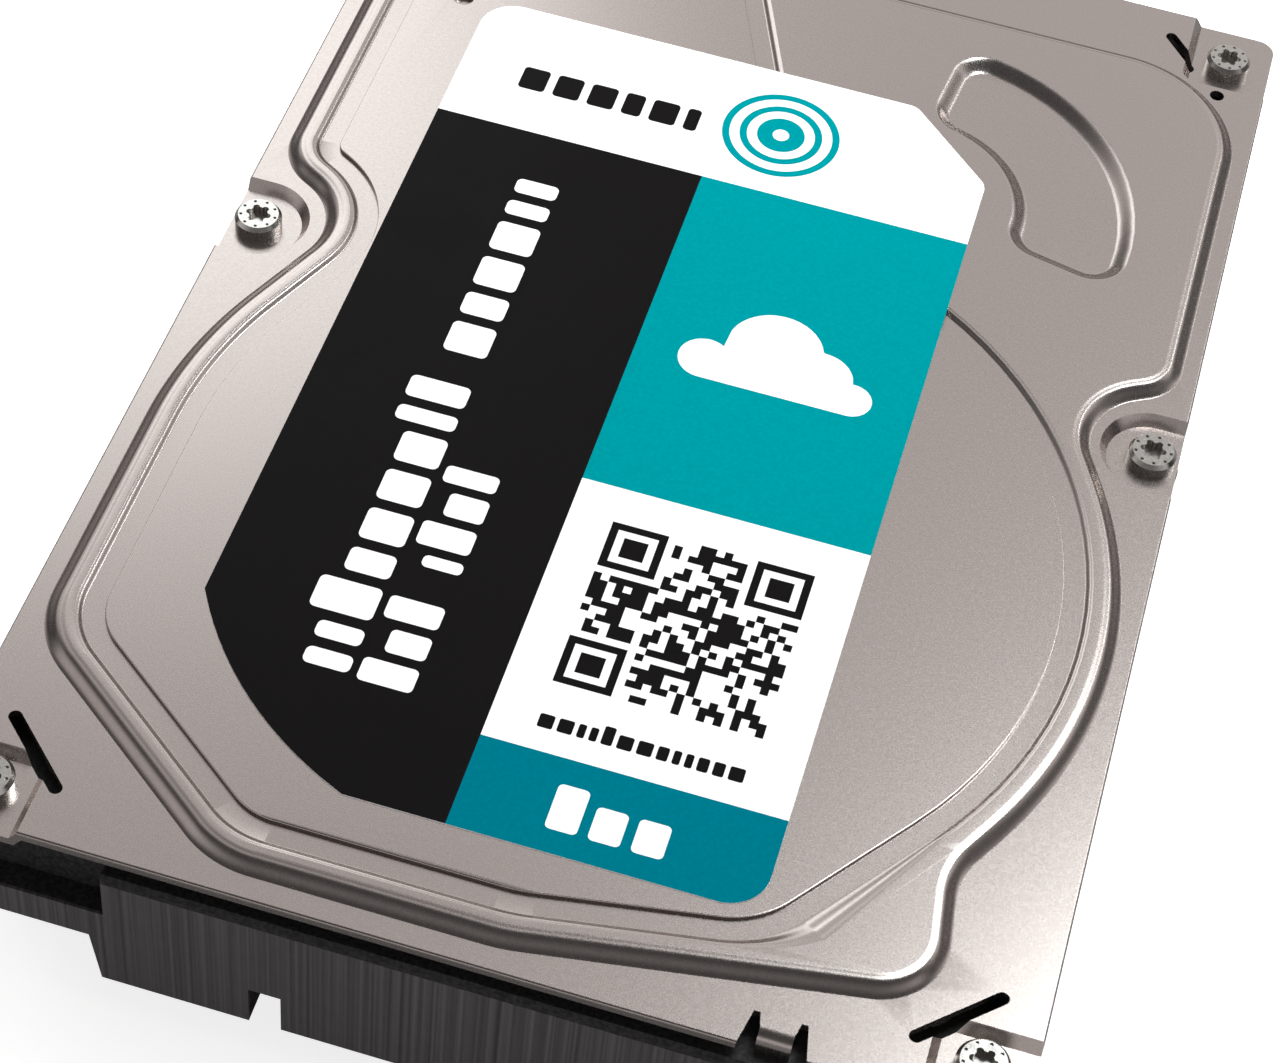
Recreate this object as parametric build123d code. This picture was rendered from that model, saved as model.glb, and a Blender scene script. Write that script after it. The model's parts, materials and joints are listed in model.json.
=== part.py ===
"""3.5-inch hard disk drive: one STEP file per physical piece, in millimetres.

The origin is the centre of the drive's plan at the mounting face underneath.  +Z points up
through the cover, +Y points to the connector end and +X to the right when that end is far away.
"""

from build123d import *
import os
from math import atan2, cos, degrees, radians, sin, tan

# ---- overall size: the 3.5-inch form factor ------------------------------------------------
LENGTH = 147.0
WIDTH = 101.6
HEIGHT = 26.1
SIDE = WIDTH / 2
NEAR = -LENGTH / 2
FAR = LENGTH / 2

# ---- heights ---------------------------------------------------------------------------------
LABEL_T = 0.1
RAISED_TOP = HEIGHT - LABEL_T       # bead, central pad and actuator plateau
COVER_STEP = 1.1                    # height of the raised area over the flange
COVER_PLATE = 0.9                   # sheet thickness
GROOVE_DEPTH = 0.4
TAB_DROP = 1.2                      # screw tabs lie below the flange
GASKET_T = 0.5
FLANGE_TOP = RAISED_TOP - COVER_STEP
FLANGE_UNDER = FLANGE_TOP - COVER_PLATE
COVER_INNER = RAISED_TOP - COVER_PLATE - 0.1
TAB_TOP = FLANGE_TOP - TAB_DROP
POST_TOP = TAB_TOP - COVER_PLATE
RIM_TOP = FLANGE_UNDER - GASKET_T
WALL_TOP = RIM_TOP - 1.1
DECK_UNDER = 5.3
FLOOR_T = 1.4
FLOOR_TOP = DECK_UNDER + FLOOR_T

# ---- disc pack -------------------------------------------------------------------------------
DISC_COUNT = 5
DISC_R = 47.5
DISC_BORE_R = 12.5
DISC_T = 1.27
DISC_LIFT = 1.8                     # lowest disc over the floor
CLAMP_T = 0.8
CLAMP_SCREW_H = 0.9
CLAMP_ROOM = 1.13                   # free height between the clamp's screws and the cover
FIRST_DISC = FLOOR_TOP + DISC_LIFT
PACK_TOP = COVER_INNER - CLAMP_ROOM - CLAMP_SCREW_H - CLAMP_T
DISC_GAP = (PACK_TOP - FIRST_DISC - DISC_COUNT * DISC_T) / (DISC_COUNT - 1)
DISC_PITCH = DISC_T + DISC_GAP
SPINDLE_X = 0.0
SPINDLE_Y = NEAR + 51.5
BAY_R = DISC_R + 1.1                # round wall beside the discs

# ---- actuator --------------------------------------------------------------------------------
PIVOT_X = SPINDLE_X + 15.7
PIVOT_Y = SPINDLE_Y + 54.4
PARKED_DEG = 199.5                  # direction of the arms with the heads on the ramp
SWING_DEG = 33.4                    # to the innermost track
COIL_DEG = PARKED_DEG - 180.0
HEAD_REACH = 52.0
SUSPENSION_T = 0.2
SLIDER_T = 0.23
HEAD_CLEARANCE = 0.085
RAMP_CLEARANCE = 0.12               # between a ramp finger and the suspensions over and under it
ARM_T = DISC_GAP - 2 * (SUSPENSION_T + SLIDER_T + HEAD_CLEARANCE)
BARREL_R = 8.0
COIL_Z = 15.3

# ---- fastenings and fits -----------------------------------------------------------------------
SCREW_HEAD_R = 2.45
SCREW_HEAD_H = 1.7
SCREW_R = 1.0
CUP_R = 4.5                         # recess round a screw in the middle of a side
CUP_OUTER = CUP_R + 0.4 * COVER_PLATE + 0.95   # room that the rim and the seal leave for it
HOLE_CLEARANCE = 0.05
SHAFT_CLEARANCE = 0.03
SPINDLE_SHAFT_R = 2.5
PIVOT_SHAFT_R = 2.5
MOUNT_HOLE_R = 1.45                 # 6-32 thread, minor radius
MOUNT_HOLE_DEPTH = 4.8
SIDE_HOLE_Z = 6.35
SIDE_HOLE_FROM_FAR = (28.5, 70.1, 130.1)
BOTTOM_HOLE_X = SIDE - 3.175
BOTTOM_HOLE_FROM_FAR = (41.28, 85.73)

MID_SCREW = (SIDE - 3.2, SPINDLE_Y + 27.9)
FAR_SCREW = (SIDE - 5.2, FAR - 6.3)
NEAR_SCREW = (SIDE - 5.1, NEAR + 5.3)
COVER_SCREWS = [(sign * x, y) for x, y in (MID_SCREW, FAR_SCREW, NEAR_SCREW) for sign in (-1, 1)]
BREATHER = (12.9 - SIDE, FAR - 28.4)
BREATHER_R = 1.1
PINHOLE_R = 0.8
PATCH_R = (13.0, 23.3)              # sunk patch over the voice-coil motor, from the pivot
PATCH_DEG = (-12.0, 84.0)
PATCH_CORNER = 2.5
SLOT_W = 1.3
SLIT_HALF = 0.3                     # half the inner end of a slit, which widens to SLIT_MOUTH
SLIT_MOUTH = 1.3
TAB_SLITS = (SIDE - 24.9, SIDE - 20.6)
TAB_ROOT = 2.9                      # where the tab leaves the flange, from the near edge
TAB_BEND = 1.3                      # its outer bend radius
BEAD_SLOPE = 48.0                   # lean of the pressed walls, from the vertical
TAB_SLOPE = 35.0
EDGE_ROUND = 0.25

# ---- circuit board ---------------------------------------------------------------------------
BOARD_T = 1.0
BOARD_Z = 1.4
BOARD_TOP = BOARD_Z + BOARD_T
BOARD_HALF_W = SIDE - 9.4
BOARD_NEAR = SPINDLE_Y + 18.0
BOARD_FAR = FAR - 3.0
INSULATOR_T = 1.2
MOTOR_WINDOW_R = 14.0
CONNECTOR_X = SIDE - 30.1           # centre of the plug, towards -X
CONNECTOR_W = 42.6
CONNECTOR_DEPTH = 8.4
CONNECTOR_TOP = 7.4


# ---- small makers ------------------------------------------------------------------------------
def slab(face, low, high):
    """A flat face on the XY plane, made into a plate between two heights."""
    return Pos(0, 0, low) * extrude(face, high - low)


def box(x0, x1, y0, y1, z0, z1):
    """A rectangular block between two corners."""
    return Pos((x0 + x1) / 2, (y0 + y1) / 2, (z0 + z1) / 2) * Box(x1 - x0, y1 - y0, z1 - z0)


def disc(radius, low, high, bore=0.0, at=(0.0, 0.0)):
    """A round plate, or a ring when it has a bore, standing on the XY plane at a point."""
    solid = Cylinder(radius, high - low)
    if bore:
        solid -= Cylinder(bore, (high - low) * 1.5)
    return Pos(at[0], at[1], (low + high) / 2) * solid


def polar(distance, degrees, centre=(PIVOT_X, PIVOT_Y)):
    """A point at a distance and a direction from a centre."""
    angle = radians(degrees)
    return (centre[0] + distance * cos(angle), centre[1] + distance * sin(angle))


def crossing(first, first_degrees, second, second_degrees):
    """Where a line through one point, in a direction, meets a line through another point."""
    ax, ay = cos(radians(first_degrees)), sin(radians(first_degrees))
    bx, by = cos(radians(second_degrees)), sin(radians(second_degrees))
    dx, dy = second[0] - first[0], second[1] - first[1]
    along = (dx * by - dy * bx) / (ax * by - ay * bx)
    return (first[0] + along * ax, first[1] + along * ay)


def outline(corners):
    """A closed face from corners (x, y, radius): straight sides joined by tangent arcs."""
    points = [Vector(x, y) for x, y, _ in corners]
    bends = []
    for i, (x, y, radius) in enumerate(corners):
        corner = points[i]
        back = (points[i - 1] - corner).normalized()
        ahead = (points[(i + 1) % len(points)] - corner).normalized()
        half = radians(back.get_angle(ahead)) / 2
        if not radius:
            bends.append((corner, None, corner))
            continue
        run = radius / tan(half)
        middle = corner + (back + ahead).normalized() * (radius / sin(half) - radius)
        bends.append((corner + back * run, middle, corner + ahead * run))
    edges = []
    for i, (start, middle, end) in enumerate(bends):
        if middle is not None:
            edges.append(ThreePointArc(start, middle, end))
        edges.append(Line(end, bends[(i + 1) % len(bends)][0]))
    return make_face(edges)


def sector(inner, outer, first, last, centre=(PIVOT_X, PIVOT_Y)):
    """A face bounded by two arcs about a centre and two radial sides."""
    middle = (first + last) / 2
    rim = ThreePointArc(*(polar(outer, a, centre) for a in (first, middle, last)))
    hollow = ThreePointArc(*(polar(inner, a, centre) for a in (first, middle, last)))
    sides = [Line(polar(inner, a, centre), polar(outer, a, centre)) for a in (first, last)]
    return make_face([rim, hollow, *sides])


def soft_sector(inner, outer, first, last, radius):
    """A sector about the actuator pivot with its four corners rounded."""
    face = sector(inner, outer, first, last)
    return fillet(face.vertices(), radius)


def grow(face, amount):
    """The face with its edge moved outwards, or inwards for a negative amount."""
    return offset(face, amount=amount, kind=Kind.ARC)


def rectangle(x0, x1, y0, y1, radius):
    """A rectangle with its four corners rounded."""
    return outline([(x0, y0, radius), (x1, y0, radius), (x1, y1, radius), (x0, y1, radius)])


def turned(profile, at=(0.0, 0.0)):
    """A solid turned about a vertical axis from (radius, height) points."""
    face = make_face([Line((r0, 0, z0), (r1, 0, z1)) for (r0, z0), (r1, z1)
                      in zip(profile, profile[1:] + profile[:1])])
    return Pos(at[0], at[1], 0) * revolve(face, Axis.Z)


def lobed_recess(radius, depth, top, at):
    """A six-lobed drive recess sunk from a height."""
    star = Cylinder(radius * 0.72, depth)
    for k in range(6):
        lobe = polar(radius * 0.72, 60 * k, (0, 0))
        star += Pos(lobe[0], lobe[1], 0) * Cylinder(radius * 0.26, depth)
    return Pos(at[0], at[1], top - depth / 2) * star


# ---- outlines of the cover and of the bay under it ---------------------------------------------
def raised_outline():
    """Foot of the raised area, which steps round the two screws in the middle of the sides."""
    edge = SIDE - 2.8
    bow = SIDE - 3.1
    screw_x, screw_y = MID_SCREW
    swell = polar(bow / cos(radians(28.0)), -1.0, (SPINDLE_X + 0.5, SPINDLE_Y + 0.3))
    corner = (SIDE - 9.9, NEAR + 9.9)
    below = crossing(swell, 241.03, corner, 97.02)
    return outline([
        (-edge, FAR - 10.2, 13.5),
        (-edge, screw_y + 8.8, 6.5),
        (-screw_x + 9.36, screw_y + 3.13, 7.4),
        (-edge, screw_y - 19.9, bow),
        (-edge, NEAR + 21.8, 10.0),
        (-SIDE + 27.0, NEAR + 3.3, 11.0),
        (3.0, NEAR + 3.3, 20.0),
        (corner[0], corner[1], 6.5),
        (below[0], below[1], 8.0),
        (swell[0], swell[1], bow),
        (screw_x - 9.24, screw_y + 3.2, 7.5),
        (edge + 0.2, screw_y + 8.9, 5.0),
        (edge + 0.2, FAR - 10.2, 13.5),
    ])


def groove_outline():
    """Inner foot of the bead, which leaves a fan-shaped plateau over the actuator."""
    edge = SIDE - 5.8
    screw_x, screw_y = MID_SCREW
    ring = SIDE - 6.2
    middle = (SPINDLE_X + 0.6, SPINDLE_Y + 0.5)
    swell = polar(ring / cos(radians(52.9)), 17.1, middle)
    fan = polar(9.949, 160.08, polar(ring, 70.0, middle))
    return outline([
        (-edge, FAR - 13.3, 10.5),
        (-edge, screw_y + 10.5, 3.5),
        (-screw_x + 13.15, screw_y + 4.4, 10.4),
        (-edge, screw_y - 20.5, SIDE - 5.8),
        (-edge, NEAR + 23.3, 8.5),
        (-SIDE + 27.9, NEAR + 6.4, 9.0),
        (3.0, NEAR + 6.4, 20.0),
        (SIDE - 25.8, NEAR + 10.4, 11.0),
        (swell[0], swell[1], ring),
        (fan[0], fan[1], 12.0),
        (PIVOT_X - 23.4, FAR - 13.3, 3.0),
    ])


def kidney(margin):
    """The sunk patch over the voice-coil motor, concentric with the actuator pivot."""
    face = soft_sector(*PATCH_R, *PATCH_DEG, PATCH_CORNER)
    return grow(face, margin) if margin else face


def bay_outline():
    """The inside of the casting: a round bay for the discs and a squarer one for the actuator."""
    half = SIDE - 6.8
    waist = SIDE - 10.3
    screw_y = MID_SCREW[1]
    actuator = outline([
        (-half, FAR - 13.0, 8.0), (-half, screw_y + 7.5, 2.0), (-waist, screw_y + 5.2, 2.0),
        (-waist, SPINDLE_Y, 0.0), (waist, SPINDLE_Y, 0.0), (waist, screw_y + 5.2, 2.0),
        (half, screw_y + 7.5, 2.0), (half, FAR - 13.0, 8.0),
    ])
    return Pos(SPINDLE_X, SPINDLE_Y) * Circle(BAY_R) + actuator


# ---- casting, cover and label --------------------------------------------------------------------
def board_posts():
    """Centres of the screw posts that carry the circuit board."""
    across = BOARD_HALF_W - 4.5
    return [(sx * across, y) for y in (BOARD_NEAR + 5.0, (BOARD_NEAR + BOARD_FAR) / 2, BOARD_FAR - 15.0)
            for sx in (-1, 1)]


def mounting_holes():
    """The threaded holes in the two sides and in the rails underneath."""
    holes = Part()
    for from_far in SIDE_HOLE_FROM_FAR:
        for sx in (-1, 1):
            hole = Rot(0, 90, 0) * Cylinder(MOUNT_HOLE_R, MOUNT_HOLE_DEPTH)
            holes += Pos(sx * (SIDE - MOUNT_HOLE_DEPTH / 2), FAR - from_far, SIDE_HOLE_Z) * hole
    for from_far in BOTTOM_HOLE_FROM_FAR:
        for sx in (-1, 1):
            holes += disc(MOUNT_HOLE_R, 0, 4.5, at=(sx * BOTTOM_HOLE_X, FAR - from_far))
    return holes


def near_corner_cuts():
    """Both near corners: open below, with a pocket in the end wall under each cover tab."""
    cuts = Part()
    for sx in (-1, 1):
        wedge = Polyline((sx * (SIDE - 17.7), 0), (sx * (SIDE - 16.1), 12.2), (sx * (SIDE + 1), 12.2),
                         (sx * (SIDE + 1), 0), close=True)
        side_face = Plane.XZ.offset(-NEAR - 7.5) * make_face(wedge)
        cuts += extrude(side_face, 8.5)
        xs = sorted((sx * (SIDE - 17.7), sx * (SIDE + 1)))
        cuts += box(xs[0], xs[1], NEAR - 1, NEAR + 2.6, 16.3, WALL_TOP + 1)
    return cuts


def sunk_panels():
    """Shallow panels in both sides between the pads, and one in the connector end."""
    wall = Plane(origin=(SIDE - 0.7, 0, 0), x_dir=(0, 1, 0), z_dir=(1, 0, 0))
    far_hole, middle_hole, near_hole = (FAR - distance for distance in SIDE_HOLE_FROM_FAR)
    cuts = Part()
    for y0, y1 in ((middle_hole + 12.0, far_hole - 10.0), (near_hole + 10.6, middle_hole - 9.4)):
        cuts += extrude(wall * rectangle(y0, y1, 9.5, 18.5, 1.5), -0.5)
    end = Plane(origin=(0, FAR, 0), x_dir=(1, 0, 0), z_dir=(0, -1, 0))
    cuts += extrude(end * rectangle(-SIDE + 14.0, SIDE - 14.0, -19.0, -11.5, 1.5), 0.5)
    return cuts + mirror(cuts, Plane.YZ)


def base_casting():
    """Die-cast tub: floor, walls, rim, side rails, screw posts and the pads with side holes."""
    half = SIDE - 0.7
    tub = slab(rectangle(-half, half, NEAR, FAR, 2.5), DECK_UNDER, WALL_TOP)
    tub = chamfer(tub.faces().sort_by(Axis.Z)[-1].edges(), 0.4)
    bay = bay_outline()
    rim = grow(bay, 1.5) & rectangle(-half, half, NEAR + 0.6, FAR - 0.6, 2.5)
    tub += slab(rim, WALL_TOP, RIM_TOP)
    for sx in (-1, 1):
        xs = sorted((sx * (SIDE - 8.3), sx * half))
        tub += box(xs[0], xs[1], NEAR + 13.0, FAR - 9.0, 0, DECK_UNDER)
        for from_far in SIDE_HOLE_FROM_FAR:
            xs = sorted((sx * (SIDE - 3.0), sx * SIDE))
            pad = box(xs[0], xs[1], FAR - from_far - 6.8, FAR - from_far + 6.8, 0, 12.8)
            tub += chamfer(pad.faces().sort_by(Axis.Z)[-1].edges(), 0.6)
    tub -= sunk_panels()
    tub -= near_corner_cuts()
    tub -= slab(rectangle(-CONNECTOR_X - CONNECTOR_W / 2 - 2.0, 20.0, FAR - 13.0, FAR + 5.0, 1.0),
                0, CONNECTOR_TOP + 1.4)
    notch = rectangle(-SIDE + 31.4, -SIDE + 34.5, NEAR - 1.0, NEAR + 4.9, 0.5)
    tub -= slab(notch, DECK_UNDER - 1, DECK_UNDER + 5.4)
    tub -= slab(bay, FLOOR_TOP, RIM_TOP + 1)
    for x, y in COVER_SCREWS:
        low = 13.0 if y < SPINDLE_Y else DECK_UNDER + 2.0
        tub += disc(3.0, low, POST_TOP, at=(x, y))
        tub -= disc(SCREW_R, POST_TOP - 7.0, POST_TOP + 2, at=(x, y))
        tub -= disc(CUP_OUTER, POST_TOP, RIM_TOP + 1, at=(x, y))
    for x, y in board_posts():
        tub += disc(3.0, BOARD_TOP, DECK_UNDER, at=(x, y))
        tub -= disc(SCREW_R, BOARD_TOP, DECK_UNDER + 0.6, at=(x, y))
    tub -= disc(10.0, DECK_UNDER - 1, FLOOR_TOP + 1, at=(SPINDLE_X, SPINDLE_Y))
    x, y = bulkhead_centre()
    tub -= box(x - 9.0, x + 9.0, y - 3.5, y + 3.5, DECK_UNDER - 1, FLOOR_TOP + 1)
    return tub - mounting_holes()


def bulkhead_centre():
    """Where the sealed connector passes through the floor."""
    return (PIVOT_X - 25.0, PIVOT_Y + 17.0)


def pressed(face, low, high, slope):
    """A solid on a face whose walls lean outwards as they rise, or inwards for a negative slope."""
    return Pos(0, 0, low) * extrude(face, high - low, taper=-slope)


def cup_face(sx, margin):
    """Plan of the recess round a middle screw: round inside, open at the side of the cover."""
    x, y = MID_SCREW
    radius = CUP_R + margin
    return outline([(x - radius, y - radius, radius - 0.01), (SIDE + 2, y - radius, 0.0),
                    (SIDE + 2, y + radius, 0.0), (x - radius, y + radius, radius - 0.01)]) if sx > 0 \
        else mirror(cup_face(1, margin), Plane.YZ)


def tab_face(sx, sy, margin):
    """Plan of the lowered tab at one corner of the cover."""
    inner_x = SIDE - 9.0 - margin
    inner_y = NEAR + 8.3 + margin if sy < 0 else FAR - 10.4 - margin
    outer_y = NEAR - 2 if sy < 0 else FAR + 2
    face = rectangle(inner_x, SIDE + 2, *sorted((inner_y, outer_y)), 0.8 + margin)
    return face if sx > 0 else mirror(face, Plane.YZ)


def cover_blank():
    """The sheet before piercing: flange, raised area, groove, sunk patch and lowered tabs."""
    half = SIDE - 0.35
    plan = rectangle(-half, half, NEAR + 0.5, FAR - 0.3, 2.0)
    whole = slab(plan, POST_TOP, RAISED_TOP)
    raised = raised_outline()
    groove = groove_outline()
    sheet = slab(plan, FLANGE_UNDER, FLANGE_TOP)
    rim = sheet.faces().sort_by(Axis.Z)[-1].edges()
    sheet = fillet(rim, EDGE_ROUND)
    sheet += pressed(raised, FLANGE_TOP, RAISED_TOP, -BEAD_SLOPE)
    crest = sheet.faces().sort_by(Axis.Z)[-1].edges()
    sheet = fillet(crest, 1.2)
    foot = [e for e in sheet.edges() if abs(e.bounding_box().max.Z - FLANGE_TOP) < 1e-4
            and abs(e.bounding_box().min.Z - FLANGE_TOP) < 1e-4
            and abs(e.center().X) < SIDE - 2.0 and NEAR + 3.0 < e.center().Y < FAR - 10.0]
    sheet = fillet(foot, 0.5)
    sheet -= slab(groove - grow(groove, -2.0), RAISED_TOP - GROOVE_DEPTH, RAISED_TOP + 1)
    lips = [e for e in sheet.edges() if e.bounding_box().min.Z > RAISED_TOP - 1e-4]
    sheet = fillet(lips, 0.25)
    sheet -= slab(grow(raised, -1.6), FLANGE_UNDER - 1, COVER_INNER)
    sheet += slab(kidney(1.6), FLANGE_UNDER, COVER_INNER)
    sheet -= pressed(kidney(0.0), FLANGE_TOP, RAISED_TOP + 0.5, BEAD_SLOPE)
    for sx in (-1, 1):
        for lowered in (lambda m: tab_face(sx, -1, m), lambda m: tab_face(sx, 1, m),
                        lambda m: cup_face(sx, m)):
            sheet += pressed(lowered(0.4), POST_TOP, FLANGE_UNDER, TAB_SLOPE) & whole
            sheet -= pressed(lowered(0.0), TAB_TOP, FLANGE_TOP + 0.5, TAB_SLOPE)
    return sheet


def cover_piercings():
    """Holes, slots and screw recesses through the cover."""
    cuts = Part()
    for x, y in COVER_SCREWS:
        cuts += disc(SCREW_R + HOLE_CLEARANCE, POST_TOP - 1, FLANGE_TOP + 1, at=(x, y))
    for sx in (-1, 1):
        for start, end in (((SIDE - 4.8, NEAR + 12.2), (SIDE - 11.2, NEAR + 6.1)),
                           ((SIDE - 12.0, FAR - 4.7), (SIDE - 9.3, FAR - 7.9))):
            slot = SlotCenterToCenter((Vector(*start) - Vector(*end)).length, SLOT_W)
            angle = degrees(atan2(start[1] - end[1], start[0] - end[0]))
            spot = Pos((start[0] + end[0]) / 2, (start[1] + end[1]) / 2) * Rot(0, 0, angle) * slot
            spot = spot if sx > 0 else mirror(spot, Plane.YZ)
            cuts += slab(spot, POST_TOP - 1, FLANGE_TOP + 1)
        cuts += disc(PINHOLE_R, POST_TOP - 1, FLANGE_TOP + 1, at=(sx * (SIDE - 5.5), FAR - 12.6))
    for x in TAB_SLITS:
        slit = make_face(Polyline((x - SLIT_MOUTH, NEAR - 1), (x + SLIT_MOUTH, NEAR - 1),
                                  (x + SLIT_HALF, NEAR + 4.1), (x - SLIT_HALF, NEAR + 4.1), close=True))
        cuts += slab(slit, POST_TOP - 1, FLANGE_TOP + 1)
    cuts += disc(BREATHER_R, FLANGE_UNDER, RAISED_TOP + 1, at=BREATHER)
    for centre in ((SPINDLE_X, SPINDLE_Y), (PIVOT_X, PIVOT_Y)):
        cuts += disc(SCREW_R + HOLE_CLEARANCE, COVER_INNER - 1, RAISED_TOP + 1, at=centre)
        cuts += disc(SCREW_HEAD_R + HOLE_CLEARANCE, RAISED_TOP - 0.5, RAISED_TOP + 1, at=centre)
    return cuts


def bent_tab():
    """Small tab between the slits: it leaves the flange, turns down and ends over the wall."""
    root, bend = NEAR + TAB_ROOT, TAB_BEND
    low, high = WALL_TOP + 0.1, FLANGE_TOP
    inner = bend - COVER_PLATE
    half = cos(radians(45.0))
    profile = make_face([
        ThreePointArc((root, high), (root - bend * half, high - bend * (1 - half)), (root - bend, high - bend)),
        Line((root - bend, high - bend), (root - bend, low)),
        Line((root - bend, low), (root - inner, low)),
        Line((root - inner, low), (root - inner, high - bend)),
        ThreePointArc((root - inner, high - bend), (root - inner * half, high - bend + inner * half),
                      (root, high - COVER_PLATE)),
        Line((root, high - COVER_PLATE), (root, high)),
    ])
    left, right = TAB_SLITS[0] + 0.6, TAB_SLITS[1] - 0.6
    upright = Plane(origin=(left, 0, 0), x_dir=(0, 1, 0), z_dir=(1, 0, 0))
    return extrude(upright * profile, right - left)


def top_cover():
    """Pressed steel cover with a small tab bent down between two slits at the near edge."""
    sheet = cover_blank() - cover_piercings()
    sheet -= box(*TAB_SLITS, NEAR - 1, NEAR + TAB_ROOT, POST_TOP - 1, FLANGE_TOP + 1)
    return sheet + bent_tab()


def cover_gasket():
    """Rubber seal in a loop between the rim and the flange."""
    bay = bay_outline()
    loop = grow(bay, 1.25) - grow(bay, 0.15)
    clear = Part()
    for x, y in COVER_SCREWS:
        clear += disc(CUP_OUTER, RIM_TOP - 1, FLANGE_UNDER + 1, at=(x, y))
    return slab(loop, RIM_TOP, FLANGE_UNDER) - clear


def pan_screw(at, seat, radius, height, shank, length):
    """One screw: a domed head with a six-lobed recess on a plain shank."""
    head = turned([(0, seat), (radius, seat), (radius, seat + height * 0.75),
                   (radius * 0.86, seat + height), (0, seat + height)], at)
    head += disc(shank, seat - length, seat, at=at)
    return head - lobed_recess(radius * 0.55, height * 0.6, seat + height, at)


def cover_screws():
    """The six screws that hold the cover down, with a ring of dimples round the drive recess."""
    screws = []
    for at in COVER_SCREWS:
        screw = pan_screw(at, TAB_TOP, SCREW_HEAD_R, SCREW_HEAD_H, SCREW_R - HOLE_CLEARANCE, 6.0)
        for k in range(9):
            dimple = polar(SCREW_HEAD_R * 0.74, 40 * k, at)
            screw -= disc(0.17, TAB_TOP + SCREW_HEAD_H - 0.2, TAB_TOP + SCREW_HEAD_H + 1, at=dimple)
        screws.append(screw)
    return Compound(screws)


def shaft_screws():
    """Two flat screws under the label, into the spindle and pivot shafts."""
    screws = []
    for at in ((SPINDLE_X, SPINDLE_Y), (PIVOT_X, PIVOT_Y)):
        screw = disc(SCREW_HEAD_R, RAISED_TOP - 0.5, RAISED_TOP - 0.05, at=at)
        screws.append(screw + disc(SCREW_R - HOLE_CLEARANCE, COVER_INNER - 4.0, RAISED_TOP - 0.5, at=at))
    return Compound(screws)


def product_label():
    """Paper label: two rounded corners, one bevelled and one cut to an arc about the spindle."""
    left, right = SPINDLE_X - 34.9, SPINDLE_X + 23.7
    near, far = SPINDLE_Y - 38.5, SPINDLE_Y + 67.7
    bulge = polar(43.0, 229.7, (SPINDLE_X, SPINDLE_Y))
    return slab(outline([
        (left, far, 4.0), (left, near + 17.8, 0.0), (bulge[0], bulge[1], 40.0),
        (left + 19.8, near, 0.0), (right, near, 4.0), (right, far - 9.4, 2.0), (right - 9.7, far, 2.0),
    ]), RAISED_TOP, HEIGHT)


def breather_filter():
    """Round filter stuck under the breather hole."""
    body = disc(5.0, COVER_INNER - 2.2, COVER_INNER, at=BREATHER)
    return body - disc(BREATHER_R, COVER_INNER - 1.4, COVER_INNER + 1, at=BREATHER)


# ---- spindle motor and discs -----------------------------------------------------------------
def motor_base():
    """Steel foot of the motor, pressed into the floor, with the tube that carries the stator."""
    foot = turned([(SPINDLE_SHAFT_R, DECK_UNDER), (10.0, DECK_UNDER), (10.0, FLOOR_TOP),
                   (5.2, FLOOR_TOP), (5.2, FLOOR_TOP + 6.6), (4.3, FLOOR_TOP + 6.6),
                   (4.3, FLOOR_TOP), (SPINDLE_SHAFT_R, FLOOR_TOP)])
    return Pos(SPINDLE_X, SPINDLE_Y, 0) * foot


def tapped_shaft(radius, low, at):
    """A fixed shaft from a height up to the cover, tapped for the screw under the label."""
    shaft = disc(radius, low, COVER_INNER, at=at)
    return shaft - disc(SCREW_R, COVER_INNER - 4.5, COVER_INNER + 1, at=at)


STATOR_LOW = FLOOR_TOP + 2.4
STATOR_HIGH = STATOR_LOW + 2.6
TOOTH_COUNT = 9


def stator_core():
    """Laminated ring with nine T-shaped teeth."""
    core = disc(6.6, STATOR_LOW, STATOR_HIGH, bore=5.2)
    for k in range(TOOTH_COUNT):
        tooth = box(5.8, 9.3, -0.6, 0.6, STATOR_LOW, STATOR_HIGH)
        tip = slab(sector(8.9, 9.7, -14.0, 14.0, (0, 0)), STATOR_LOW, STATOR_HIGH)
        core += Rot(0, 0, 360 / TOOTH_COUNT * k) * (tooth + tip)
    return Pos(SPINDLE_X, SPINDLE_Y, 0) * core


def stator_windings():
    """One copper coil round each tooth."""
    coil = box(6.7, 8.7, -1.4, 1.4, STATOR_LOW - 0.8, STATOR_HIGH + 0.8)
    coil -= box(6.0, 9.5, -0.6, 0.6, STATOR_LOW, STATOR_HIGH)
    turns = [Pos(SPINDLE_X, SPINDLE_Y, 0) * Rot(0, 0, 360 / TOOTH_COUNT * k) * coil
             for k in range(TOOTH_COUNT)]
    return Compound(turns)


HUB_R = DISC_BORE_R - HOLE_CLEARANCE
MAGNET_OUTER_R = HUB_R - 1.2
CLAMP_BOLT_R = 8.0


def rotor_hub():
    """Aluminium hub: a long bearing sleeve, a bell over the stator and a flange under the discs."""
    sleeve_r = SPINDLE_SHAFT_R + SHAFT_CLEARANCE
    web = STATOR_HIGH + 4.6
    hub = turned([(sleeve_r, FLOOR_TOP + 0.5), (3.9, FLOOR_TOP + 0.5), (3.9, web),
                  (MAGNET_OUTER_R, web), (MAGNET_OUTER_R, FLOOR_TOP + 0.6),
                  (DISC_BORE_R + 3.3, FLOOR_TOP + 0.6), (DISC_BORE_R + 3.3, FIRST_DISC),
                  (HUB_R, FIRST_DISC), (HUB_R, PACK_TOP), (sleeve_r, PACK_TOP)])
    for k in range(6):
        hub -= disc(0.8, PACK_TOP - 4.0, PACK_TOP + 1, at=polar(CLAMP_BOLT_R, 60 * k, (0, 0)))
    return Pos(SPINDLE_X, SPINDLE_Y, 0) * hub


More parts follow.
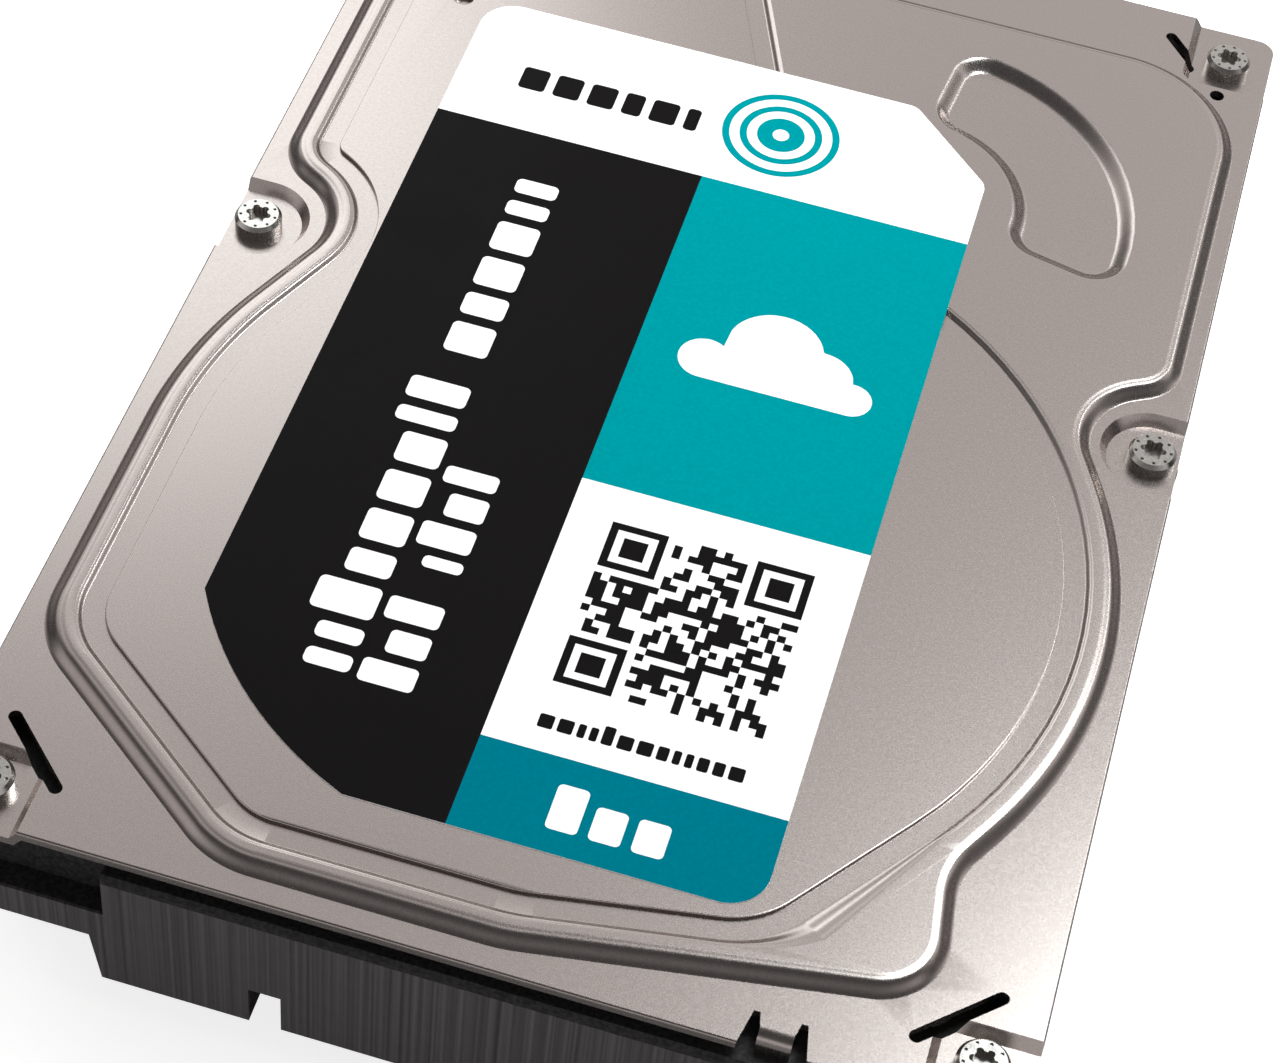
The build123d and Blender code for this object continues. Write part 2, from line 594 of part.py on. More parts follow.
def rotor_magnet():
    """Ring magnet inside the hub's bell."""
    return disc(MAGNET_OUTER_R, STATOR_LOW - 0.8, STATOR_HIGH + 2.0, bore=9.7 + 0.4,
                at=(SPINDLE_X, SPINDLE_Y))


def platter(index):
    """One recording disc."""
    low = FIRST_DISC + index * DISC_PITCH
    ring = disc(DISC_R, low, low + DISC_T, bore=DISC_BORE_R)
    edges = ring.edges().filter_by(GeomType.CIRCLE).sort_by(lambda e: e.radius)[2:]
    return Pos(SPINDLE_X, SPINDLE_Y, 0) * chamfer(edges, 0.15)


def disc_spacers():
    """Rings that hold the discs apart."""
    rings = []
    for k in range(DISC_COUNT - 1):
        low = FIRST_DISC + k * DISC_PITCH + DISC_T
        rings.append(disc(DISC_BORE_R + 3.3, low, low + DISC_GAP, bore=DISC_BORE_R,
                          at=(SPINDLE_X, SPINDLE_Y)))
    return Compound(rings)


CLAMP_TOP = PACK_TOP + CLAMP_T


def disc_clamp():
    """Spring plate that presses the discs onto the hub."""
    plate = disc(DISC_BORE_R + 3.1, PACK_TOP, CLAMP_TOP, bore=SPINDLE_SHAFT_R + 0.8)
    plate -= disc(DISC_BORE_R - 0.5, CLAMP_TOP - 0.25, CLAMP_TOP + 1, bore=11.2)
    for k in range(6):
        plate -= disc(0.85, PACK_TOP - 1, CLAMP_TOP + 1, at=polar(CLAMP_BOLT_R, 60 * k, (0, 0)))
    return Pos(SPINDLE_X, SPINDLE_Y, 0) * plate


def clamp_screws():
    """Six screws through the clamp into the hub."""
    centre = (SPINDLE_X, SPINDLE_Y)
    return Compound([pan_screw(polar(CLAMP_BOLT_R, 60 * k, centre), CLAMP_TOP, 1.6, CLAMP_SCREW_H, 0.75, 4.0)
                     for k in range(6)])


# ---- actuator ------------------------------------------------------------------------------------
def arm_middle(index):
    """Height of the middle of an arm: arm 0 is under the lowest disc."""
    return FIRST_DISC - DISC_GAP / 2 + index * DISC_PITCH


BARREL_LOW = arm_middle(0) - ARM_T / 2
BARREL_HIGH = arm_middle(DISC_COUNT) + ARM_T / 2
BEARING_R = 5.5


def arm_block():
    """Barrel with one tapering arm over, under and between the discs."""
    block = disc(BARREL_R, BARREL_LOW, BARREL_HIGH)
    plan = outline([(-5.0, -6.2, 0.0), (12.0, -5.2, 0.0), (37.0, -3.0, 1.5), (37.0, 3.0, 1.5),
                    (12.0, 5.2, 0.0), (-5.0, 6.2, 0.0)])
    plan -= outline([(13.0, -3.0, 1.0), (29.0, -1.6, 1.0), (29.0, 1.6, 1.0), (13.0, 3.0, 1.0)])
    arm = Rot(0, 0, PARKED_DEG) * plan
    for k in range(DISC_COUNT + 1):
        block += slab(arm, arm_middle(k) - ARM_T / 2, arm_middle(k) + ARM_T / 2)
    block -= disc(BEARING_R, BARREL_LOW - 1, BARREL_HIGH + 1)
    return Pos(PIVOT_X, PIVOT_Y, 0) * block


def pivot_bearings():
    """Two ball bearings, each shown as one ring with a groove between its races."""
    rings = []
    for low in (BARREL_LOW + 0.8, BARREL_HIGH - 3.8):
        ring = disc(BEARING_R, low, low + 3.0, bore=PIVOT_SHAFT_R + SHAFT_CLEARANCE)
        ring -= disc(4.4, low + 2.6, low + 4.0, bore=3.6)
        rings.append(Pos(PIVOT_X, PIVOT_Y, 0) * ring)
    return Compound(rings)


def coil_face(margin):
    """Plan of the coil's outer edge, grown or shrunk by a margin."""
    face = soft_sector(15.0, 25.0, COIL_DEG - 14.0, COIL_DEG + 14.0, 1.5)
    return grow(face, margin) if margin else face


def voice_coil():
    """Flat coil of copper wire."""
    return slab(coil_face(0.0) - grow(coil_face(0.0), -2.6), COIL_Z - 1.1, COIL_Z + 1.1)


def coil_carrier():
    """Plastic moulded round the coil and onto the barrel."""
    face = sector(BARREL_R, 26.4, COIL_DEG - 17.5, COIL_DEG + 17.5)
    return slab(face - coil_face(0.0), COIL_Z - 1.1, COIL_Z + 1.1)


def gimbals():
    """Every (arm, side) that carries a head: +1 is the arm's upper face."""
    pairs = []
    for k in range(DISC_COUNT + 1):
        pairs += [(k, side) for side in (-1, 1) if 0 <= k + (side - 1) // 2 < DISC_COUNT]
    return pairs


def head_suspensions():
    """Leaf springs on the arms, each with a narrow tab that parks on the ramp."""
    plan = outline([(31.5, -2.4, 0.5), (37.5, -2.4, 0.5), (HEAD_REACH + 0.4, -0.9, 0.3),
                    (HEAD_REACH + 2.0, -0.4, 0.3), (HEAD_REACH + 2.0, 0.4, 0.3),
                    (HEAD_REACH + 0.4, 0.9, 0.3), (37.5, 2.4, 0.5), (31.5, 2.4, 0.5)])
    springs = []
    for k, side in gimbals():
        face = arm_middle(k) + side * ARM_T / 2
        spring = slab(plan, *sorted((face, face + side * SUSPENSION_T)))
        springs.append(Pos(PIVOT_X, PIVOT_Y, 0) * Rot(0, 0, PARKED_DEG) * spring)
    return Compound(springs)


def head_sliders():
    """The tiny read and write heads."""
    heads = []
    for k, side in gimbals():
        face = arm_middle(k) + side * (ARM_T / 2 + SUSPENSION_T)
        heights = sorted((face, face + side * SLIDER_T))
        head = box(HEAD_REACH - 1.1, HEAD_REACH, -0.4, 0.4, *heights)
        heads.append(Pos(PIVOT_X, PIVOT_Y, 0) * Rot(0, 0, PARKED_DEG) * head)
    return Compound(heads)


FLEX_DEG = PARKED_DEG - 74.0


def flex_mount(low, high, near, far, half_width):
    """A block against the side of the barrel, in the direction of the flex cable."""
    flat = box(near, far, -half_width, half_width, low, high)
    return Pos(PIVOT_X, PIVOT_Y, 0) * Rot(0, 0, FLEX_DEG) * flat


def arm_flex():
    """Stiffened end of the flex cable, seated on the barrel."""
    pad = flex_mount(COIL_Z - 5.0, COIL_Z + 5.0, BARREL_R - 3.0, BARREL_R + 1.0, 2.8)
    return pad - disc(BARREL_R, BARREL_LOW, BARREL_HIGH, at=(PIVOT_X, PIVOT_Y))


def preamplifier():
    """Chip on the stiffened end of the flex cable."""
    return flex_mount(COIL_Z - 2.0, COIL_Z + 2.0, BARREL_R + 1.0, BARREL_R + 1.8, 1.8)


# ---- voice-coil motor -----------------------------------------------------------------------
YOKE_DEG = (-12.0, 86.0)
YOKE_T = 2.5
MAGNET_T = 2.5
AIR_HALF = 2.0
POST_SPOTS = [(r, a) for a in (YOKE_DEG[0] + 3.5, YOKE_DEG[1] - 4.0) for r in (17.0, 24.5)]


def yoke(low):
    """One steel plate of the voice-coil motor, drilled for its posts."""
    plate = slab(sector(13.5, 27.5, *YOKE_DEG), low, low + YOKE_T)
    for r, a in POST_SPOTS:
        plate -= disc(SCREW_R, low - 1, low + YOKE_T + 1, at=polar(r, a))
    return plate


LOWER_MAGNET = COIL_Z - AIR_HALF - MAGNET_T
UPPER_MAGNET = COIL_Z + AIR_HALF
LOWER_YOKE = LOWER_MAGNET - YOKE_T
UPPER_YOKE = UPPER_MAGNET + MAGNET_T


def coil_magnets(low):
    """Two magnet tiles side by side, one for each leg of the coil."""
    middle = COIL_DEG + SWING_DEG / 2
    tiles = [sector(14.2, 26.8, middle - 31.0, middle - 0.5),
             sector(14.2, 26.8, middle + 0.5, middle + 31.0)]
    return Compound([slab(tile, low, low + MAGNET_T) for tile in tiles])


def yoke_posts():
    """Tubular posts: from the floor to the lower yoke and on between the two yokes."""
    posts = []
    for r, a in POST_SPOTS:
        for low, high in ((FLOOR_TOP, LOWER_YOKE), (LOWER_YOKE + YOKE_T, UPPER_YOKE)):
            posts.append(disc(1.5, low, high, bore=SCREW_R, at=polar(r, a)))
    return Compound(posts)


def yoke_screws():
    """Four long screws through both yokes and their posts."""
    top = UPPER_YOKE + YOKE_T
    return Compound([pan_screw(polar(r, a), top, 1.9, 0.9, SCREW_R - HOLE_CLEARANCE, top - FLOOR_TOP)
                     for r, a in POST_SPOTS])


def crash_stops():
    """Rubber sleeves that the coil carrier meets at each end of its swing."""
    return Compound([disc(1.95, COIL_Z - 1.8, COIL_Z + 1.8, bore=1.5, at=polar(r, a))
                     for r, a in POST_SPOTS if r < 20])


LATCH_PIN = polar(27.0, -31.0)
LATCH_R = 1.0


def latch_pin():
    """Pin that carries the inertia latch."""
    return disc(LATCH_R, FLOOR_TOP, COIL_Z + 2.2, at=LATCH_PIN)


def latch_lever():
    """Small plastic lever that catches the coil carrier when the drive is knocked."""
    hub = disc(2.2, COIL_Z - 1.5, COIL_Z + 1.5)
    hub += box(-0.7, 0.7, 0.0, 6.0, COIL_Z - 1.0, COIL_Z + 1.0)
    hub += box(-2.4, 0.7, 5.0, 6.0, COIL_Z - 1.0, COIL_Z + 1.0)
    hub += box(-0.9, 0.9, -5.0, 0.0, COIL_Z - 1.0, COIL_Z + 1.0)
    hub -= disc(LATCH_R + SHAFT_CLEARANCE, COIL_Z - 3, COIL_Z + 3)
    return Pos(LATCH_PIN[0], LATCH_PIN[1], 0) * hub


def latch_collar():
    """Washer under the latch lever, on its pin."""
    return disc(1.8, FLOOR_TOP, COIL_Z - 1.6, bore=LATCH_R, at=LATCH_PIN)


# ---- other fittings inside ---------------------------------------------------------------------
def load_ramp():
    """Plastic comb beyond the discs, with a finger between each pair of suspension tabs."""
    half = ARM_T / 2 - RAMP_CLEARANCE
    body = box(HEAD_REACH + 2.5, HEAD_REACH + 6.5, -3.5, 3.5, FLOOR_TOP, BARREL_HIGH)
    for k in range(DISC_COUNT + 1):
        middle = arm_middle(k)
        body += box(HEAD_REACH + 0.6, HEAD_REACH + 3.0, -2.4, 1.2, middle - half, middle + half)
    body += box(HEAD_REACH + 2.5, HEAD_REACH + 6.5, -11.5, -3.0, FLOOR_TOP, FLOOR_TOP + 3.0)
    body -= Pos(HEAD_REACH + 4.5, -8.0, 0) * Cylinder(SCREW_R, 60)
    return Pos(PIVOT_X, PIVOT_Y, 0) * Rot(0, 0, PARKED_DEG) * body


def ramp_screw():
    """Screw that holds the ramp's foot."""
    reach = Pos(PIVOT_X, PIVOT_Y, 0) * Rot(0, 0, PARKED_DEG) * Pos(HEAD_REACH + 4.5, -8.0, 0)
    at = (reach.position.X, reach.position.Y)
    return pan_screw(at, FLOOR_TOP + 3.0, 1.7, 1.0, SCREW_R - HOLE_CLEARANCE, 3.0)


def filter_frame():
    """Plastic frame that holds the air filter in the stream from the discs."""
    x, y = PIVOT_X - 44.0, PIVOT_Y + 1.5
    frame = box(x - 4.0, x + 4.0, y - 2.0, y + 2.0, FLOOR_TOP, PACK_TOP)
    return frame - box(x - 3.2, x + 3.2, y - 3.0, y + 3.0, FLOOR_TOP + 0.8, PACK_TOP - 0.8)


def air_filter():
    """Fleece pad in the filter frame."""
    x, y = PIVOT_X - 44.0, PIVOT_Y + 1.5
    return box(x - 3.2, x + 3.2, y - 0.9, y + 0.9, FLOOR_TOP + 0.8, PACK_TOP - 0.8)


def desiccant_pack():
    """Block that keeps the air inside dry."""
    x, y = -SIDE + 19.0, FAR - 20.0
    pack = box(x - 7.0, x + 7.0, y - 4.0, y + 4.0, FLOOR_TOP, FLOOR_TOP + 9.0)
    return fillet(pack.edges().filter_by(Axis.Z), 1.5)


def bulkhead_connector():
    """Sealed connector through the floor, from the board to the flex cable."""
    x, y = bulkhead_centre()
    plug = box(x - 9.0, x + 9.0, y - 3.5, y + 3.5, BOARD_TOP, FLOOR_TOP)
    return plug + box(x - 8.0, x + 8.0, y - 2.8, y + 2.8, FLOOR_TOP, FLOOR_TOP + 2.4)


def flex_bracket():
    """Bent plate on the sealed connector that holds the flex cable upright."""
    x, y = bulkhead_centre()
    low = FLOOR_TOP + 2.4
    plate = box(x - 8.0, x + 8.0, y - 2.8, y + 2.8, low, low + 1.0)
    return plate + box(x - 8.0, x + 8.0, y + 1.8, y + 2.8, low, COIL_Z + 5.0)


def flex_cable():
    """Ribbon that stands on edge and loops from its bracket towards the barrel."""
    x, y = bulkhead_centre()
    start = (x - 4.0, y + 1.7)
    path = FilletPolyline(start, (x + 12.5, y + 1.7), polar(BARREL_R + 6.0, FLEX_DEG + 2.0), radius=4.0)
    ribbon = trace(path, line_width=0.16)
    return slab(ribbon, COIL_Z - 4.0, COIL_Z + 4.0)


# ---- circuit board -------------------------------------------------------------------------------
def board_face(margin=0.0):
    """Plan of the board, cut round the motor, with an optional inward margin."""
    half = BOARD_HALF_W - margin
    plan = rectangle(-half, half, BOARD_NEAR + margin, BOARD_FAR - margin, 2.0)
    return plan - Pos(SPINDLE_X, SPINDLE_Y) * Circle(MOTOR_WINDOW_R + 6.0 + margin)


def circuit_board():
    """Board under the casting."""
    board = slab(board_face(), BOARD_Z, BOARD_TOP)
    for at in board_posts():
        board -= disc(SCREW_R + HOLE_CLEARANCE, BOARD_Z - 1, BOARD_TOP + 1, at=at)
    return board


def board_screws():
    """Flat-headed screws up into the casting's posts."""
    screws = []
    for x, y in board_posts():
        screw = disc(2.2, BOARD_Z - 0.7, BOARD_Z, at=(x, y))
        screw += disc(SCREW_R - HOLE_CLEARANCE, BOARD_Z, BOARD_TOP + 3.0, at=(x, y))
        screws.append(screw - lobed_recess(1.2, 0.5, BOARD_Z - 0.2, (x, y)))
    return Compound(screws)


def board_insulator():
    """Foam sheet between the board's chips and the casting."""
    x, y = bulkhead_centre()
    face = board_face(2.0) - rectangle(x - 10.0, x + 10.0, y - 4.5, y + 4.5, 0.5)
    face -= rectangle(-BOARD_HALF_W - 1, 22.0, FAR - 16.5, FAR, 1.0)
    sheet = slab(face, DECK_UNDER - INSULATOR_T, DECK_UNDER)
    for at in board_posts():
        sheet -= disc(3.6, DECK_UNDER - 3, DECK_UNDER + 1, at=at)
    return sheet


CONTROLLER_AT = (-4.0, BOARD_NEAR + 16.0)


def controller_chip():
    """Square main chip."""
    x, y = CONTROLLER_AT
    return box(x - 7.0, x + 7.0, y - 7.0, y + 7.0, BOARD_TOP, BOARD_TOP + 1.3)


def memory_chip():
    """Cache memory beside the main chip."""
    x, y = CONTROLLER_AT[0] + 19.0, CONTROLLER_AT[1] + 3.0
    return box(x - 5.0, x + 5.0, y - 4.0, y + 4.0, BOARD_TOP, BOARD_TOP + 1.0)


def motor_driver_chip():
    """Driver for the spindle motor and the voice coil."""
    x, y = CONTROLLER_AT[0] - 20.0, CONTROLLER_AT[1] - 1.0
    return box(x - 4.5, x + 4.5, y - 4.5, y + 4.5, BOARD_TOP, BOARD_TOP + 1.1)


def board_components():
    """Rows of small capacitors and resistors round the chips."""
    small = []
    for row, y in enumerate((CONTROLLER_AT[1] + 11.5, CONTROLLER_AT[1] + 14.5)):
        for column in range(10):
            x = CONTROLLER_AT[0] - 5.0 + 3.6 * column
            small.append(box(x - 0.9, x + 0.9, y - 0.5, y + 0.5, BOARD_TOP, BOARD_TOP + 0.8 + 0.2 * row))
    return Compound(small)


def connector_cavity():
    """The space inside the plug's shell, open to the connector end."""
    half = CONNECTOR_W / 2
    return box(-half + 1.2, half - 1.2, FAR - CONNECTOR_DEPTH + 2.4, FAR + 1, 1.6, CONNECTOR_TOP - 1.0)


TONGUES = ((-18.0, 3.2, 15), (6.0, 17.0, 7))     # power and signal: first x, last x, contacts


def sata_connector():
    """Combined power and signal plug: an open shell round two L-keyed tongues."""
    half = CONNECTOR_W / 2
    shell = box(-half, half, FAR - CONNECTOR_DEPTH, FAR, BOARD_TOP, CONNECTOR_TOP)
    shell += box(-half, half, FAR - 2.8, FAR, 0.5, BOARD_TOP)
    shell -= connector_cavity()
    for low, high, _ in TONGUES:
        shell += box(low, high, FAR - CONNECTOR_DEPTH + 2.0, FAR - 0.6, 4.2, 5.4)
        shell += box(high - 1.2, high, FAR - CONNECTOR_DEPTH + 2.0, FAR - 0.6, 3.0, 4.3)
    return Pos(-CONNECTOR_X, 0, 0) * shell


def connector_contacts():
    """Gold strips on the tongues."""
    strips = []
    for low, high, count in TONGUES:
        for k in range(count):
            x = low + 1.2 + 1.27 * k
            strips.append(Pos(-CONNECTOR_X, 0, 0) * box(x - 0.4, x + 0.4, FAR - CONNECTOR_DEPTH + 2.4,
                                                        FAR - 1.1, 5.4, 5.5))
    return Compound(strips)


JUMPER_X = 12.0


def jumper_block():
    """Plastic base of the configuration pins."""
    return box(JUMPER_X - 5.2, JUMPER_X + 5.2, FAR - 8.0, FAR - 5.6, BOARD_TOP, BOARD_TOP + 5.2)


def jumper_pins():
    """Two rows of four square pins."""
    pins = []
    for k in range(4):
        for z in (BOARD_TOP + 1.3, BOARD_TOP + 3.84):
            x = JUMPER_X - 3.81 + 2.54 * k
            pins.append(box(x - 0.3, x + 0.3, FAR - 5.6, FAR - 0.6, z - 0.3, z + 0.3))
    return Compound(pins)


def motor_flex():
    """Flat lead from the motor's foot, with a spring contact that stands on the board."""
    reach = SPINDLE_Y + MOTOR_WINDOW_R + 7.5
    lead = box(SPINDLE_X - 3.0, SPINDLE_X + 3.0, SPINDLE_Y + 4.0, reach, DECK_UNDER - 0.2, DECK_UNDER)
    return lead + box(SPINDLE_X - 2.5, SPINDLE_X + 2.5, reach - 1.2, reach, BOARD_TOP, DECK_UNDER)


# ---- every node ------------------------------------------------------------------------------------
def all_nodes():
    """Every node's name with its shape."""
    spindle_at = (SPINDLE_X, SPINDLE_Y)
    nodes = {
        "base_casting": base_casting(), "top_cover": top_cover(), "cover_gasket": cover_gasket(),
        "cover_screws": cover_screws(), "shaft_screws": shaft_screws(), "product_label": product_label(),
        "breather_filter": breather_filter(), "motor_base": motor_base(),
        "spindle_shaft": tapped_shaft(SPINDLE_SHAFT_R, DECK_UNDER, spindle_at),
        "stator_core": stator_core(), "stator_windings": stator_windings(),
        "rotor_hub": rotor_hub(), "rotor_magnet": rotor_magnet(), "disc_spacers": disc_spacers(),
        "disc_clamp": disc_clamp(), "clamp_screws": clamp_screws(),
        "pivot_shaft": tapped_shaft(PIVOT_SHAFT_R, FLOOR_TOP, (PIVOT_X, PIVOT_Y)),
        "arm_block": arm_block(), "pivot_bearings": pivot_bearings(), "voice_coil": voice_coil(),
        "coil_carrier": coil_carrier(), "head_suspensions": head_suspensions(),
        "head_sliders": head_sliders(), "arm_flex": arm_flex(), "preamplifier": preamplifier(),
        "lower_yoke": yoke(LOWER_YOKE), "upper_yoke": yoke(UPPER_YOKE),
        "lower_magnets": coil_magnets(LOWER_MAGNET), "upper_magnets": coil_magnets(UPPER_MAGNET),
        "yoke_posts": yoke_posts(), "yoke_screws": yoke_screws(), "crash_stops": crash_stops(),
        "latch_pin": latch_pin(), "latch_lever": latch_lever(), "latch_collar": latch_collar(),
        "load_ramp": load_ramp(), "ramp_screw": ramp_screw(), "filter_frame": filter_frame(),
        "air_filter": air_filter(), "desiccant_pack": desiccant_pack(),
        "bulkhead_connector": bulkhead_connector(), "flex_bracket": flex_bracket(),
        "flex_cable": flex_cable(), "circuit_board": circuit_board(), "board_screws": board_screws(),
        "board_insulator": board_insulator(), "controller_chip": controller_chip(),
        "memory_chip": memory_chip(), "motor_driver_chip": motor_driver_chip(),
        "board_components": board_components(), "sata_connector": sata_connector(),
        "connector_contacts": connector_contacts(), "jumper_block": jumper_block(),
        "jumper_pins": jumper_pins(), "motor_flex": motor_flex(),
    }
    for index in range(DISC_COUNT):
        nodes[f"platter_{index + 1}"] = platter(index)
    return nodes


os.makedirs("parts", exist_ok=True)
for name, shape in all_nodes().items():
    export_step(shape, f"parts/{name}.step")
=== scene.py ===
"""Looks of a 3.5-inch hard disk drive: a pressed satin cover with a printed label on a black tub.

The origin, the axes and every size are those of the drive itself, in metres.
"""

import json
import math

import bmesh
import bpy
import numpy as np
from mathutils import Matrix, Vector
from mathutils.geometry import tessellate_polygon


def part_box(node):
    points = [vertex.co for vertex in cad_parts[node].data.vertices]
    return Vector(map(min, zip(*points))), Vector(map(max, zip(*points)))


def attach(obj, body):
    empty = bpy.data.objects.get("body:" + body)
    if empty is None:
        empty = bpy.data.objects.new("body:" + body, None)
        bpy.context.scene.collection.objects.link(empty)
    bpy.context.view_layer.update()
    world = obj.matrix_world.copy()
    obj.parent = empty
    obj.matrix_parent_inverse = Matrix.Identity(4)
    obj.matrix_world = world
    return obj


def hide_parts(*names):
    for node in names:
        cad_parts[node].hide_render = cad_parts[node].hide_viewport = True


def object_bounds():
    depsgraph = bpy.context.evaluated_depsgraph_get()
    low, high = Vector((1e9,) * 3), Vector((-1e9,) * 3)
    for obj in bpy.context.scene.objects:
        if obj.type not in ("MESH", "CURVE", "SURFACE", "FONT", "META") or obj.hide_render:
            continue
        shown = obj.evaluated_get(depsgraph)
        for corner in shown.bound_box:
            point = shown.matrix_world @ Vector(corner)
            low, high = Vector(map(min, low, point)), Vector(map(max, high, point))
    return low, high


MM = 0.001

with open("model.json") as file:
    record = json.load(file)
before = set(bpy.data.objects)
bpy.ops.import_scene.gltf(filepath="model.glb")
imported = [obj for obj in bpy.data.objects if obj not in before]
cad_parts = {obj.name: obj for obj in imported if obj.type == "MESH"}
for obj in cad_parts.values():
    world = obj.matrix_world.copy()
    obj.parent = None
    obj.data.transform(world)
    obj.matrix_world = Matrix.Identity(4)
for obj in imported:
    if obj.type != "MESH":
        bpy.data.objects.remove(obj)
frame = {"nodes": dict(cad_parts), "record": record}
cad_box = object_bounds()
SIDE, NEAR, FAR = cad_box[1].x / MM, cad_box[0].y / MM, cad_box[1].y / MM
nodes = frame["nodes"]
body_of = {n: b for b, members in frame["record"]["behaviour"]["bodies"].items() for n in members}
slot_of = {part["node"]: part["material_slot"] for part in frame["record"]["subparts"]}


# ---- camera, light and floor ---------------------------------------------------------------------
CAMERA_PLACE = (0.036489, -0.211530, 0.258967)
CAMERA_TURN = (10.394, 50.444, 7.175)           # azimuth, elevation and roll in degrees
LENS = 88.21                                    # focal length for a sensor 36 mm wide


def make_camera():
    """A long lens above the near edge, a little to the right and rolled clockwise."""
    azimuth, elevation, roll = (math.radians(d) for d in CAMERA_TURN)
    back = np.array([math.sin(azimuth) * math.cos(elevation),
                     -math.cos(azimuth) * math.cos(elevation), math.sin(elevation)])
    right = np.cross(-back, (0, 0, 1))
    right /= np.linalg.norm(right)
    up = np.cross(right, -back)
    turned_right = right * math.cos(roll) + up * math.sin(roll)
    turned_up = up * math.cos(roll) - right * math.sin(roll)
    camera = bpy.data.objects.new("camera", bpy.data.cameras.new("camera"))
    camera.data.lens = LENS
    camera.data.sensor_width = 36.0
    camera.data.clip_start, camera.data.clip_end = 0.01, 10.0
    place = np.eye(4)
    place[:3, 0], place[:3, 1], place[:3, 2] = turned_right, turned_up, back
    place[:3, 3] = CAMERA_PLACE
    camera.matrix_world = Matrix(place.tolist())
    bpy.context.scene.collection.objects.link(camera)
    bpy.context.scene.camera = camera


def softbox(name, place, target, width, height, power, tint=(1.0, 1.0, 1.0), mirrored=True):
    """A rectangular lamp at a place, turned towards a target; bright metal may mirror it or not."""
    lamp = bpy.data.lights.new(name, "AREA")
    lamp.shape = "RECTANGLE"
    lamp.size, lamp.size_y = width, height
    lamp.energy = power
    lamp.color = tint
    fixture = bpy.data.objects.new(name, lamp)
    aim = np.array(target, float) - np.array(place, float)
    z = -aim / np.linalg.norm(aim)
    x = np.cross((0, 1, 0) if abs(z[2]) > 0.99 else (0, 0, 1), z)
    x /= np.linalg.norm(x)
    stand = np.eye(4)
    stand[:3, 0], stand[:3, 1], stand[:3, 2], stand[:3, 3] = x, np.cross(z, x), z, place
    fixture.matrix_world = Matrix(stand.tolist())
    fixture.visible_glossy = mirrored
    bpy.context.scene.collection.objects.link(fixture)


def joined(tree, operation, first, second):
    """Two values put together by one sum, product or comparison; the second may be a plain number."""
    step = tree.nodes.new("ShaderNodeMath")
    step.operation = operation
    tree.links.new(first, step.inputs[0])
    if isinstance(second, float):
        step.inputs[1].default_value = second
    else:
        tree.links.new(second, step.inputs[1])
    return step.outputs["Value"]


def soft_steps(tree, parts, steps):
    """The product of soft steps along the axes: (axis, from, to, value before, value after)."""
    strength = None
    for axis, low, high, at_low, at_high in steps:
        rise = tree.nodes.new("ShaderNodeMapRange")
        rise.interpolation_type = "SMOOTHSTEP"
        for socket, value in (("From Min", low), ("From Max", high), ("To Min", at_low), ("To Max", at_high)):
            rise.inputs[socket].default_value = value
        tree.links.new(parts.outputs[axis], rise.inputs["Value"])
        step = rise.outputs["Result"]
        strength = joined(tree, "MULTIPLY", strength, step) if strength else step
    return strength


def light_the_studio():
    """A surround that is bright beyond the drive and dark overhead, with a dimmer glow low on the near
    side; three panels that the cover mirrors; and lamps that metal doesn't mirror, for print and walls."""
    world = bpy.data.worlds.new("studio")
    world.use_nodes = True
    tree = world.node_tree
    n, link = tree.nodes, tree.links.new
    background = n["Background"]
    heading, parts = n.new("ShaderNodeTexCoord"), n.new("ShaderNodeSeparateXYZ")
    sight, seen = n.new("ShaderNodeLightPath"), n.new("ShaderNodeMix")
    link(heading.outputs["Generated"], parts.inputs[0])
    beyond = soft_steps(tree, parts, (("Z", 0.15, 0.5, 0.08, 0.80), ("Z", 0.50, 0.78, 0.9, 0.58),
                                      ("Y", 0.0, 0.50, 0.13, 1.0)))
    near_glow = soft_steps(tree, parts, (("Z", 0.30, 0.52, 0.55, 0.0), ("Y", -0.25, 0.05, 1.0, 0.0)))
    link(sight.outputs["Is Camera Ray"], seen.inputs[0])
    link(joined(tree, "ADD", beyond, near_glow), seen.inputs[2])
    seen.inputs[3].default_value = 0.95
    background.inputs["Color"].default_value = (1.0, 0.985, 0.975, 1.0)
    link(seen.outputs[0], background.inputs["Strength"])
    bpy.context.scene.world = world
    middle = (0.0, -0.01, 0.026)
    cool = (0.92, 1.0, 1.0)
    softbox("far_left_panel", (-0.205, 0.335, 0.33), (-0.045, 0.01, 0.026), 0.20, 0.20, 0.165, cool)
    softbox("near_right_panel", (0.15, 0.13, 0.42), (0.045, -0.055, 0.026), 0.14, 0.14, 0.52, cool)
    softbox("far_right_strip", (0.42, 0.62, 0.68), middle, 0.06, 0.35, 0.35, cool)
    softbox("top_lamp", (-0.03, 0.22, 0.32), middle, 0.25, 0.25, 1.4, mirrored=False)
    softbox("left_lamp", (-1.2, 0.25, 1.0), middle, 0.8, 0.8, 2.0, mirrored=False)
    softbox("right_lamp", (1.1, 0.0, 1.1), middle, 0.8, 0.8, 2.0, mirrored=False)
    softbox("front_lamp", (0.2, -1.4, 0.5), middle, 0.8, 0.8, 6.0, mirrored=False)


